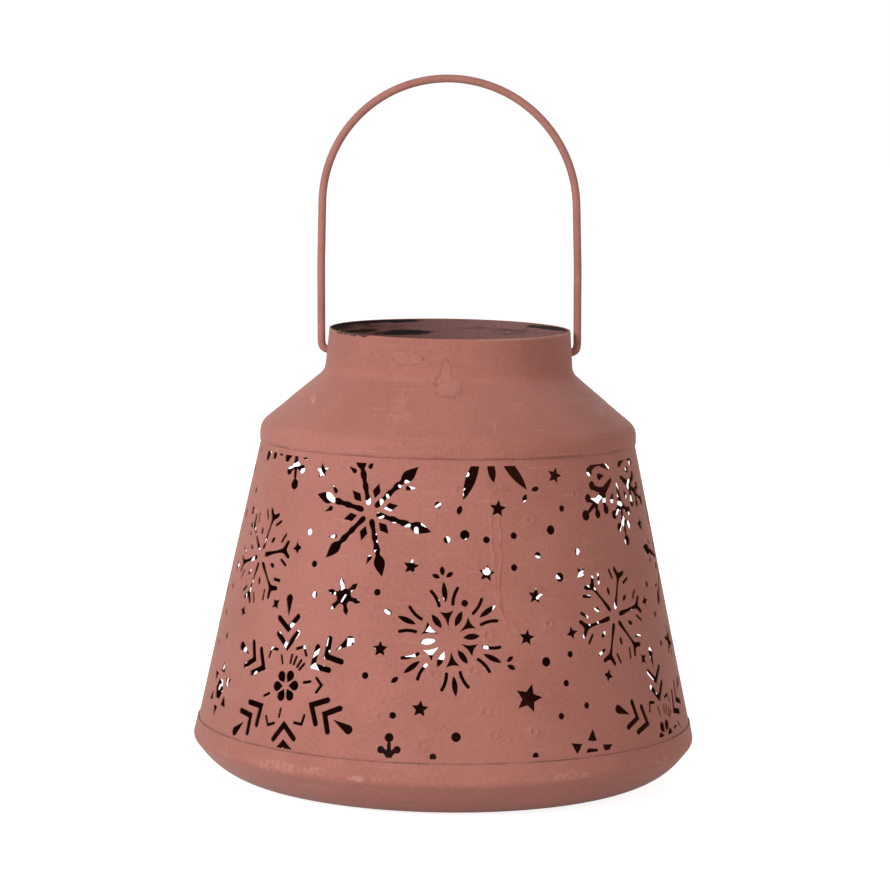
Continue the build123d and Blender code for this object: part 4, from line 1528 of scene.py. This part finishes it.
@dataclass
class WireBail:
    """Bent wire handle: hook, pin, leg, arch, leg, pin and hook in one sweep."""

    wire: float = 3.6
    half_span: float = 58.2
    arch_radius: float = 57.6
    arch_height: float = 259.2
    pivot_height: float = 193.6
    bend: float = 2.4
    hook_place: float = 50.1
    hook_length: float = 7.0
    hook_steps: int = 10
    leg_stop: float = 26.0
    arch_steps: int = 60
    lean: float = 0.0148
    lean_start: float = 4.0
    round_steps: int = 20
    spacing: float = 0.9
    eased: int = 6
    dome: tuple = (87.0, 60.0, 30.0)

    def path(self) -> np.ndarray:
        """Middle line of the wire as x and height, from the left hook to the right one.

        One side is the hook, pin and leg with rounded bends and a quarter circle; the other is its mirror
        image. The line then leans over with height and is divided evenly.

        Returns:
            Rows of x and height.
        """
        low, high = self.pivot_height, self.pivot_height + self.hook_length
        leg = [(-self.hook_place, high), (-self.hook_place, low), (-self.half_span, low),
               (-self.half_span, self.arch_height - self.leg_stop)]
        left = rounded(leg, [self.bend, self.bend], self.hook_steps)
        angles = np.radians(np.linspace(180.0, 90.0, self.arch_steps))
        circle = np.stack([np.cos(angles), np.sin(angles)], 1)
        half = np.concatenate([left, [0.0, self.arch_height] + self.arch_radius * circle])
        line = np.concatenate([half, half[::-1][1:] * [-1.0, 1.0]])
        line[:, 0] -= self.lean * np.maximum(line[:, 1] - self.pivot_height - self.lean_start, 0.0)
        steps = np.concatenate([[0.0], np.cumsum(np.hypot(*np.diff(line, axis=0).T))])
        even = np.linspace(0.0, steps[-1], int(steps[-1] / self.spacing))
        return np.stack([np.interp(even, steps, line[:, k]) for k in (0, 1)], 1)

    @staticmethod
    def upright(line: np.ndarray) -> np.ndarray:
        """Rows of x and height as rows of x, y and z in the plane of the handle."""
        return np.stack([line[:, 0], np.zeros(len(line)), line[:, 1]], 1)

    def build(self, material: bpy.types.Material) -> bpy.types.Object:
        """Sweep a circle along the eased path and close both ends with domes of shrinking circles.

        Args:
            material: finish of the wire.

        Returns:
            The object.
        """
        line = self.path()
        for _ in range(self.eased):
            line[1:-1] = line[1:-1] * 0.5 + (line[:-2] + line[2:]) * 0.25
        along = np.gradient(line, axis=0)
        along /= np.hypot(along[:, 0], along[:, 1])[:, None]
        dome = np.radians(self.dome)
        count = len(dome)
        radius = self.wire / 2
        head = line[0] - along[0] * radius * np.sin(dome)[:, None]
        tail = line[-1] + along[-1] * radius * np.sin(dome[::-1])[:, None]
        spine = np.concatenate([head, line, tail])
        ways = np.concatenate([np.repeat(along[:1], count, 0), along, np.repeat(along[-1:], count, 0)])
        girth = radius * np.concatenate([np.cos(dome), np.ones(len(line)), np.cos(dome[::-1])])
        turn = np.arange(self.round_steps) * math.tau / self.round_steps
        side = np.stack([-ways[:, 1], ways[:, 0]], 1)
        lift = np.cos(turn)[None, :, None] * self.upright(side)[:, None]
        depth = np.sin(turn)[None, :, None] * np.array([0.0, 1.0, 0.0])
        out = lift + depth
        rows = self.upright(spine)[:, None] + out * girth[:, None, None]
        skin = Skin("bail_wire")
        numbers = skin.put(rows.reshape(-1, 3)).reshape(len(spine), -1)
        after = np.roll(np.arange(self.round_steps), -1)
        quads, corner = (np.stack([each[1:], each[1:, after], each[:-1, after], each[:-1]], 2)
                         for each in (numbers, out))
        skin.face(quads.reshape(-1, 4), corner.reshape(-1, 4, 3), Coat.OUTSIDE)
        for ring, way in ((numbers[0], -ways[:1]), (numbers[-1][::-1], ways[-1:])):
            facing = np.broadcast_to(self.upright(way), (1, self.round_steps, 3))
            skin.face(ring[None], facing, Coat.OUTSIDE)
        return skin.finish([material])


class Wire:
    """A shader value that takes part in plain arithmetic."""

    def __init__(self, recipe: "Recipe", socket: bpy.types.NodeSocket) -> None:
        """Wrap an output socket of a recipe's node."""
        self.recipe = recipe
        self.socket = socket

    def math(self, operation: str, *others: "Wire | float", first: bool = True) -> "Wire":
        """One Math node with this value in it."""
        values = (self, *others) if first else (*others, self)
        return self.recipe.add("ShaderNodeMath", dict(enumerate(values)), operation=operation)

    def __add__(self, other: "Wire | float") -> "Wire":
        """Sum of two values."""
        return self.math("ADD", other)

    __radd__ = __add__

    def __mul__(self, other: "Wire | float") -> "Wire":
        """Product of two values."""
        return self.math("MULTIPLY", other)

    __rmul__ = __mul__

    def __sub__(self, other: "Wire | float") -> "Wire":
        """This value less another."""
        return self.math("SUBTRACT", other)

    def __rsub__(self, other: "Wire | float") -> "Wire":
        """A number less this value."""
        return self.math("SUBTRACT", other, first=False)

    def __pow__(self, other: "Wire | float") -> "Wire":
        """This value to a power."""
        return self.math("POWER", other)

    def __abs__(self) -> "Wire":
        """This value without its sign."""
        return self.math("ABSOLUTE")

    def between(self, low: float, high: float) -> "Wire":
        """Smooth step from 0 at low to 1 at high."""
        inputs = {"Value": self, "From Min": low, "From Max": high}
        return self.recipe.add("ShaderNodeMapRange", inputs, interpolation_type="SMOOTHSTEP")


class Recipe:
    """Node tree of one finish, or of the sky."""

    def __init__(self, owner: bpy.types.Material | bpy.types.World, shader: str) -> None:
        """Turn on the owner's nodes.

        Args:
            owner: material or world that has the nodes.
            shader: name of its shader node.
        """
        owner.use_nodes = True
        self.owner = owner
        self.tree = owner.node_tree
        self.shader = self.tree.nodes[shader]
        self.place = self.add("ShaderNodeTexCoord", output="Object")

    @classmethod
    def finish(cls, name: str) -> "Recipe":
        """Recipe of a new material."""
        return cls(bpy.data.materials.new(name), "Principled BSDF")

    def add(self, kind: str, inputs: dict | None = None, output: int | str = 0, **settings: object) -> Wire:
        """Add any node.

        Args:
            kind: the node's type.
            inputs: values or wires by socket name or number.
            output: the socket to give back.
            settings: the node's own options.

        Returns:
            The chosen output.
        """
        node = self.tree.nodes.new(kind)
        for key, value in settings.items():
            setattr(node, key, value)
        for key, value in (inputs or {}).items():
            self.plug(node.inputs[key], value)
        return Wire(self, node.outputs[output])

    def plug(self, socket: bpy.types.NodeSocket, value: object) -> None:
        """Link a wire to a socket, or set the socket's own value."""
        if isinstance(value, Wire):
            self.tree.links.new(value.socket, socket)
        else:
            socket.default_value = value

    def noise(self, scale: float, detail: float = 2.0, rough: float = 0.5, at: Wire | None = None) -> Wire:
        """Soft noise from 0 to 1."""
        inputs = {"Vector": at or self.place, "Scale": scale, "Detail": detail, "Roughness": rough}
        return self.add("ShaderNodeTexNoise", inputs)

    def stretched(self, scales: tuple[float, float, float]) -> Wire:
        """Place with each axis scaled on its own."""
        return self.add("ShaderNodeVectorMath", {0: self.place, 1: scales}, operation="MULTIPLY")

    def away(self, mark: "Mark") -> Wire:
        """Distance from a mark's middle, 1 at its reach."""
        shift = self.add("ShaderNodeVectorMath", {0: self.place, 1: mark.place}, operation="SUBTRACT")
        scaled = self.add("ShaderNodeVectorMath", {0: shift, 1: mark.reach}, operation="DIVIDE")
        return self.add("ShaderNodeVectorMath", {0: scaled}, output="Value", operation="LENGTH")

    def blend(self, share: Wire | float, first: object, second: object) -> Wire:
        """Colour between two others."""
        inputs = {0: share, 6: first, 7: second}
        return self.add("ShaderNodeMix", inputs, output=2, data_type="RGBA")

    def axes(self, at: Wire | None = None) -> tuple[Wire, Wire, Wire]:
        """The three parts of a place."""
        split = self.add("ShaderNodeSeparateXYZ", {0: at or self.place}).socket.node
        return tuple(Wire(self, split.outputs[k]) for k in range(3))

    def seen(self) -> Wire:
        """1 for what the camera sees straight, in a mirror or through glass."""
        path = self.add("ShaderNodeLightPath").socket.node
        ways = ("Is Camera Ray", "Is Glossy Ray", "Is Transmission Ray")
        camera, glossy, through = (Wire(self, path.outputs[way]) for way in ways)
        return camera.math("MAXIMUM", glossy).math("MAXIMUM", through)

    def bump(self, strength: float, distance: float, height: Wire) -> Wire:
        """Direction of a surface roughened by a height."""
        return self.add("ShaderNodeBump", {"Strength": strength, "Distance": distance, "Height": height})

    def dress(self, **inputs: object) -> bpy.types.Material | bpy.types.World:
        """Set the shader's inputs, with underscores for spaces.

        Args:
            inputs: values or wires by name.

        Returns:
            The material or the world.
        """
        for key, value in inputs.items():
            self.plug(self.shader.inputs[key.replace("_", " ")], value)
        return self.owner


@dataclass(frozen=True)
class Mark:
    """One stain or chip: its place and its reach in metres, how ragged and how strong it is."""

    place: tuple[float, float, float]
    reach: tuple[float, float, float]
    ragged: float = 0.5
    strength: float = 0.75


@dataclass(frozen=True)
class ChalkPaint:
    """Matte terracotta pink paint with a sandy grain, brushed round the turned forms."""

    name: str = "chalk_paint"
    deep: tuple = (0.405, 0.152, 0.118, 1.0)
    plain: tuple = (0.455, 0.178, 0.142, 1.0)
    pale: tuple = (0.610, 0.330, 0.285, 1.0)
    dusty: tuple = (0.520, 0.235, 0.195, 1.0)
    # Dark colour for real dirt, stains and specks, and also for painted shade at the seams, the foot and the
    # neck.
    grime_and_shade: tuple = (0.150, 0.062, 0.050, 1.0)
    bare: tuple = (0.022, 0.016, 0.015, 1.0)
    roughness: float = 0.82
    sheen: float = 0.16
    grain: float = 1150.0
    rim_height: float = 0.2037
    rim_tilt: float = 0.0253
    upper_seam: float = 0.1530
    lower_seam: float = 0.0259
    drips: tuple = ((Mark((-0.0211, -0.0516, 0.1942), (0.0043, 0.03, 0.0036)),
                     Mark((-0.0149, -0.0538, 0.1938), (0.0046, 0.03, 0.0022))),
                    (Mark((-0.0009, -0.0562, 0.1890), (0.0029, 0.03, 0.0056)),
                     Mark((0.0001, -0.0592, 0.1820), (0.0062, 0.03, 0.0046))))
    chips: tuple = (Mark((-0.0603, -0.0332, 0.1741), (0.0014, 0.02, 0.0024), 0.5, 0.95),
                    Mark((0.0202, -0.0780, 0.1652), (0.0004, 0.02, 0.0052), 0.9, 0.5),
                    Mark((-0.0158, -0.0574, 0.1806), (0.0125, 0.02, 0.0003), 0.9, 0.4),
                    Mark((-0.0218, -0.0690, 0.1712), (0.0050, 0.02, 0.0080), 1.2, 0.16),
                    Mark((0.0679, -0.0221, 0.1719), (0.0025, 0.02, 0.0040), 1.3, 0.3),
                    Mark((-0.0725, -0.0875, 0.0193), (0.0150, 0.0150, 0.0026), 0.7, 0.34),
                    Mark((-0.0553, -0.0997, 0.0200), (0.0060, 0.0060, 0.0016), 0.9, 0.24),
                    Mark((-0.0364, -0.1083, 0.0183), (0.0040, 0.0060, 0.0012), 0.8, 0.5),
                    Mark((-0.0282, -0.1107, 0.0190), (0.0016, 0.0060, 0.0012), 0.8, 0.42),
                    Mark((-0.0972, -0.0600, 0.0191), (0.0070, 0.0100, 0.0022), 0.8, 0.3),
                    Mark((0.0547, -0.1000, 0.0193), (0.0100, 0.0100, 0.0020), 0.7, 0.34),
                    Mark((0.0962, -0.0616, 0.0183), (0.0060, 0.0080, 0.0014), 0.8, 0.28))
    rim_chips: Mark = Mark((-0.0440, -0.0330, 0.2015), (0.0130, 0.0200, 0.0080))
    rim_worn: tuple[float, float] = (0.0013, 0.0005)
    seam_shade_widths: tuple[float, float] = (0.0004, 0.0003)
    seam_shade_depths: tuple[float, float] = (0.5, 0.6)
    seam_lift: float = 0.0003
    seam_sway: float = 0.0006
    lip_low: tuple[float, float] = (0.0115, 0.0165)
    lip_high: tuple[float, float] = (0.0195, 0.0235)
    lip_out: tuple[float, float] = (0.108, 0.1135)
    foot_shade: tuple[float, float] = (0.002, 0.009)
    neck_shade: tuple[float, float] = (0.184, 0.192)
    neck_low: tuple[float, float] = (0.19, 0.195)
    neck_out: tuple[float, float] = (0.0562, 0.0575)
    highlight_rim: tuple[float, float] = (-0.0010, -0.0002)
    highlight_side: tuple[float, float] = (0.005, 0.03)

    def build(self) -> bpy.types.Material:
        """Grain, blotches, brushed streaks, stains, dirt and painted shade along the seams, painted shade at
        the foot and on the neck, a painted highlight on the neck's rim and rubbed edges over the plain
        colour.

        Returns:
            The material.
        """
        r = Recipe.finish(self.name)
        x, y, z = r.axes()
        out = (x * x + y * y) ** 0.5
        blotch = r.noise(24.0, 4.0, 0.6)
        speck = r.noise(self.grain, 2.0, 0.65)
        fine = r.noise(420.0, 3.0, 0.6)
        brushed = r.noise(1.0, 3.0, 0.6, r.stretched((38.0, 38.0, 620.0)))
        tone = r.blend(blotch.between(0.32, 0.68), self.deep, self.plain)
        tone = r.blend((speck - 0.5) * 0.85 + (fine - 0.5) * 0.62 + 0.06, tone, self.dusty)
        tone = r.blend((0.5 - speck).between(0.02, 0.2) * 0.22, tone, self.grime_and_shade)
        tone = r.blend(brushed.between(0.58, 0.78) * 0.28, tone, self.pale)
        dust = r.noise(70.0, 5.0, 0.7).between(0.6, 0.78)
        tone = r.blend(dust * fine.between(0.4, 0.65) * 0.3, tone, self.pale)

        warp = r.noise(170.0, 3.0, 0.55) - 0.5
        slow = r.noise(150.0, 3.0, 0.6) - 0.5
        gaps = r.noise(210.0, 2.0, 0.5).between(0.38, 0.58)
        for first, second in self.drips:
            blot = r.away(first).math("SMOOTH_MIN", r.away(second), 0.6) + slow * 1.7
            edge = (1.0 - abs(blot - 0.9).between(0.0, 0.16)) * (0.25 + gaps * 0.75)
            tone = r.blend(edge * fine.between(0.3, 0.6) * 0.48, tone, self.grime_and_shade)
            tone = r.blend((1.0 - blot.between(0.5, 0.9)) * 0.10, tone, self.pale)
        for mark in self.chips:
            spot = 1.0 - (r.away(mark) + warp * mark.ragged * 2.0).between(0.6, 1.2)
            tone = r.blend(spot * fine.between(0.35, 0.6) * mark.strength, tone, self.pale)

        ragged = r.noise(300.0, 3.0, 0.6) - 0.5
        broken = r.noise(75.0, 3.0, 0.6).between(0.38, 0.62)
        # Painted shade with some dirt: thin dark broken lines along the upper and lower seams.
        seams = (self.upper_seam, self.lower_seam)
        for height, width, depth in zip(seams, self.seam_shade_widths, self.seam_shade_depths):
            near = abs(z - height - self.seam_lift + ragged * self.seam_sway)
            line = (1.0 - near.between(width * 0.4, width * 1.6)) * (0.25 + broken * 0.75)
            tone = r.blend(line * depth, tone, self.grime_and_shade)
        lip = z.between(*self.lip_low) * (1.0 - z.between(*self.lip_high)) * out.between(*self.lip_out)
        rubbed = r.noise(1.0, 5.0, 0.7, r.stretched((26.0, 26.0, 170.0))).between(0.52, 0.72)
        tone = r.blend(lip * rubbed * fine.between(0.36, 0.6) * 0.4, tone, self.pale)
        # Painted shade: the pan darkens towards the floor.
        under = 1.0 - z.between(*self.foot_shade)
        tone = r.blend(under * 0.08, tone, self.grime_and_shade)
        # Painted shade: the neck is darkened from its root upward.
        tone = r.blend(z.between(*self.neck_shade) * 0.09, tone, self.grime_and_shade)

        rim = z - y * self.rim_tilt - self.rim_height
        neck = (1.0 - out.between(*self.neck_out)) * z.between(*self.neck_low)
        # Painted highlight: a pale line along the neck's rim, on the right of the front.
        bright = rim.between(*self.highlight_rim) * x.between(*self.highlight_side) * neck
        tone = r.blend(bright * 0.5, tone, self.pale)
        chipped = (1.0 - r.away(self.rim_chips).between(0.6, 1.1)) * self.rim_worn[0] + self.rim_worn[1]
        worn = (rim + chipped + ragged * 0.0030 + warp * 0.0010).between(0.0010, 0.0014) * neck
        tone = r.blend(worn * 0.85, tone, self.bare)

        grain = speck * 0.55 + fine * 0.5 + brushed * 0.22
        rough = self.roughness + (blotch - 0.5) * 0.16
        bump = r.bump(0.32, 0.00035, grain)
        return r.dress(Base_Color=tone, Roughness=rough, Normal=bump, Sheen_Weight=self.sheen,
                       Sheen_Roughness=0.5, Specular_IOR_Level=0.25)


@dataclass(frozen=True)
class WirePaint:
    """The same pink on the wire, thinner and more worn."""

    name: str = "wire_chalk_paint"
    deep: tuple = (0.370, 0.150, 0.120, 1.0)
    plain: tuple = (0.430, 0.185, 0.152, 1.0)
    pale: tuple = (0.560, 0.300, 0.265, 1.0)
    bare: tuple = (0.120, 0.058, 0.048, 1.0)
    roughness: float = 0.74
    sheen: float = 0.1

    def build(self) -> bpy.types.Material:
        """Blotched paint with pale rubs and a few spots worn to the wire.

        Returns:
            The material.
        """
        r = Recipe.finish(self.name)
        speck = r.noise(1100.0, 2.0, 0.6)
        patch = r.noise(60.0, 4.0, 0.6)
        tone = r.blend(patch.between(0.35, 0.65), self.deep, self.plain)
        tone = r.blend((speck - 0.45) * 0.6, tone, self.pale)
        tone = r.blend(r.noise(210.0, 4.0, 0.65).between(0.6, 0.74) * 0.4, tone, self.pale)
        tone = r.blend(r.noise(330.0, 3.0, 0.6).between(0.66, 0.78) * 0.6, tone, self.bare)
        height = speck * 0.5 + r.noise(260.0, 3.0, 0.6) * 0.7
        rough = self.roughness + (patch - 0.5) * 0.2
        bump = r.bump(0.35, 0.0004, height)
        return r.dress(Base_Color=tone, Roughness=rough, Normal=bump, Sheen_Weight=self.sheen,
                       Specular_IOR_Level=0.3)


@dataclass(frozen=True)
class SootyInside:
    """Dark red-brown inside of the tin, with soot and mauve overspray streaked round the neck."""

    name: str = "sooty_inside"
    soot: tuple = (0.013, 0.011, 0.011, 1.0)
    dark: tuple = (0.112, 0.026, 0.0150, 1.0)
    brown: tuple = (0.175, 0.041, 0.0240, 1.0)
    spray: tuple = (0.275, 0.140, 0.128, 1.0)
    fog_low: float = 0.150
    fog_high: float = 0.186
    roughness: float = 0.78
    streaks: tuple = (Mark((-0.0200, 0.0518, 0.1987), (0.0150, 0.02, 0.0013), 0.9, 0.95),
                      Mark((-0.0340, 0.0440, 0.2043), (0.0260, 0.03, 0.0010), 0.6, 0.95),
                      Mark((-0.0420, 0.0360, 0.2000), (0.0100, 0.02, 0.0008), 0.9, 0.8),
                      Mark((0.0460, 0.0310, 0.2032), (0.0130, 0.03, 0.0010), 0.7, 0.9))

    def build(self) -> bpy.types.Material:
        """Dark brown below, and above it paint fog broken by sooty streaks along the turn.

        Returns:
            The material.
        """
        r = Recipe.finish(self.name)
        side, _, height = r.axes()
        tone = r.blend(r.noise(40.0, 3.0).between(0.4, 0.7), self.dark, self.brown)
        fog = height.between(self.fog_low, self.fog_high)
        streak = r.noise(1.0, 5.0, 0.62, r.stretched((15.0, 15.0, 280.0)))
        streak = (streak + side * 1.2).between(0.36, 0.50)
        speck = r.noise(800.0, 2.0, 0.6).between(0.2, 0.6)
        tone = r.blend(fog, tone, self.soot)
        tone = r.blend(fog * streak * (0.72 + speck * 0.28), tone, self.spray)
        torn = r.noise(1.0, 4.0, 0.62, r.stretched((60.0, 60.0, 700.0))) - 0.5
        for mark in self.streaks:
            spot = 1.0 - (r.away(mark) + torn * mark.ragged * 2.4).between(0.7, 1.1)
            tone = r.blend(spot * mark.strength, tone, self.soot)
        bump = r.bump(0.3, 0.0003, r.noise(600.0, 3.0))
        return r.dress(Base_Color=tone, Roughness=self.roughness, Normal=bump, Specular_IOR_Level=0.2)


@dataclass(frozen=True)
class DullSolder:
    """Grey tin solder, dulled and sooted inside the lantern."""

    name: str = "dull_solder"
    bright: tuple = (0.160, 0.155, 0.150, 1.0)
    sooted: tuple = (0.022, 0.019, 0.018, 1.0)

    def build(self) -> bpy.types.Material:
        """Lumpy grey metal under uneven soot.

        Returns:
            The material.
        """
        r = Recipe.finish(self.name)
        soot = r.noise(120.0, 4.0, 0.6).between(0.35, 0.62)
        bump = r.bump(0.4, 0.0005, r.noise(240.0, 3.0))
        return r.dress(Base_Color=r.blend(soot, self.bright, self.sooted), Roughness=0.45 + soot * 0.35,
                       Metallic=0.8 - soot * 0.7, Normal=bump)


@dataclass(frozen=True)
class Lamp:
    """Square soft light: place and size in metres, power in watts."""

    name: str
    place: tuple[float, float, float]
    size: float
    power: float
    colour: tuple[float, float, float]


@dataclass
class Studio:
    """White floor, soft lights and the photograph's camera."""

    distance: float = 1.350
    height: float = 0.285
    pitch: float = 5.682
    roll: float = 0.85
    focal_px: float = 2971.8
    frame_px: float = 890.0
    shift_px: float = 2.9
    sensor: float = 36.0
    floor_half: float = 60.0
    floor_grey: tuple = (0.75, 0.75, 0.75, 1.0)
    floor_glow: float = 0.86
    sky_light: float = 0.3
    sky_tint: tuple = (1.0, 0.88, 0.79, 1.0)
    aim: tuple[float, float, float] = (0.0, 0.0, 0.13)
    lamps: tuple = (Lamp("key_left", (-1.25, -1.35, 0.95), 1.0, 26.3, (1.0, 1.0, 1.03)),
                    Lamp("fill_front", (0.4, -1.9, 0.6), 1.2, 4.0, (1.0, 0.93, 0.88)),
                    Lamp("fill_right", (1.6, -0.7, 0.6), 1.2, 3.3, (1.0, 0.89, 0.83)),
                    Lamp("fill_back", (0.0, 1.9, 0.6), 1.2, 11.0, (1.0, 0.98, 0.96)))

    def camera(self) -> None:
        """Camera fitted to the photograph."""
        data = bpy.data.cameras.new("camera")
        data.sensor_width = self.sensor
        data.lens = self.focal_px / self.frame_px * self.sensor
        data.shift_x = -self.shift_px / self.frame_px
        made = bpy.data.objects.new("camera", data)
        tip = Matrix.Rotation(math.radians(90.0 - self.pitch), 4, "X")
        roll = Matrix.Rotation(math.radians(self.roll), 4, "Z")
        made.matrix_world = Matrix.Translation((0.0, -self.distance, self.height)) @ tip @ roll
        bpy.context.scene.collection.objects.link(made)
        bpy.context.scene.camera = made

    def light(self, lamp: Lamp) -> None:
        """Hang a lamp that faces the lantern.

        Args:
            lamp: the lamp to hang.
        """
        data = bpy.data.lights.new(lamp.name, "AREA")
        data.size = lamp.size
        data.energy = lamp.power
        data.color = lamp.colour
        made = bpy.data.objects.new(lamp.name, data)
        made.location = lamp.place
        aim = Vector(self.aim) - Vector(lamp.place)
        made.rotation_euler = aim.to_track_quat("-Z", "Y").to_euler()
        bpy.context.scene.collection.objects.link(made)

    def floor(self) -> None:
        """Wide pale floor, white to the camera except where the lantern's shadow falls."""
        half = self.floor_half
        corners = [(-half, -half, 0.0), (half, -half, 0.0), (half, half, 0.0), (-half, half, 0.0)]
        mesh = bpy.data.meshes.new("floor")
        mesh.from_pydata(corners, [], [(0, 1, 2, 3)])
        made = bpy.data.objects.new("floor", mesh)
        r = Recipe.finish("floor_white")
        glow = r.blend(r.seen(), BLACK, WHITE)
        mesh.materials.append(r.dress(Base_Color=self.floor_grey, Roughness=0.9, Specular_IOR_Level=0.0,
                                      Emission_Color=glow, Emission_Strength=self.floor_glow))
        bpy.context.scene.collection.objects.link(made)

    def sky(self) -> None:
        """World that looks white and gives a soft, slightly warm light."""
        r = Recipe(bpy.data.worlds.new("studio"), "Background")
        seen = r.seen()
        strength = r.add("ShaderNodeMapRange", {"Value": seen, "To Min": self.sky_light, "To Max": 1.0})
        bpy.context.scene.world = r.dress(Color=r.blend(seen, self.sky_tint, WHITE), Strength=strength)

    def build(self) -> None:
        """Set up the whole studio."""
        self.camera()
        self.floor()
        self.sky()
        for lamp in self.lamps:
            self.light(lamp)
        bpy.context.scene.view_settings.view_transform = "Standard"


def seat(piece: bpy.types.Object, body: str, node: str) -> None:
    """Let a piece stand for a CAD node.

    Args:
        piece: the new object.
        body: rigid body that it moves with.
        node: CAD node that it stands for.
    """
    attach(piece, body)
    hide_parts(node)
    log.info("%s stands for %s", piece.name, node)


def main() -> None:
    """Build the lantern and its studio."""
    logging.basicConfig(level=logging.INFO, format="%(name)s %(message)s")
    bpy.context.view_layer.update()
    paint = ChalkPaint().build()
    coats = [paint, SootyInside().build()]
    solder = DullSolder().build()
    cone = Cone()
    seat(PunchedBody(cone).build(coats), "lantern", "punched_body")
    seat(ShoulderNeck(ShoulderSurface()).build(coats), "lantern", "shoulder_neck")
    seat(BasePan().build(cone, coats), "lantern", "base_pan")
    seat(WireBail().build(WirePaint().build()), "bail", "bail_handle")
    for name in ("lower_seam_solder", "upper_seam_solder", "lap_seam_solder"):
        node = frame["nodes"][name]
        node.data.materials.clear()
        node.data.materials.append(solder)
    Studio().build()


if __name__ == "__main__":
    main()
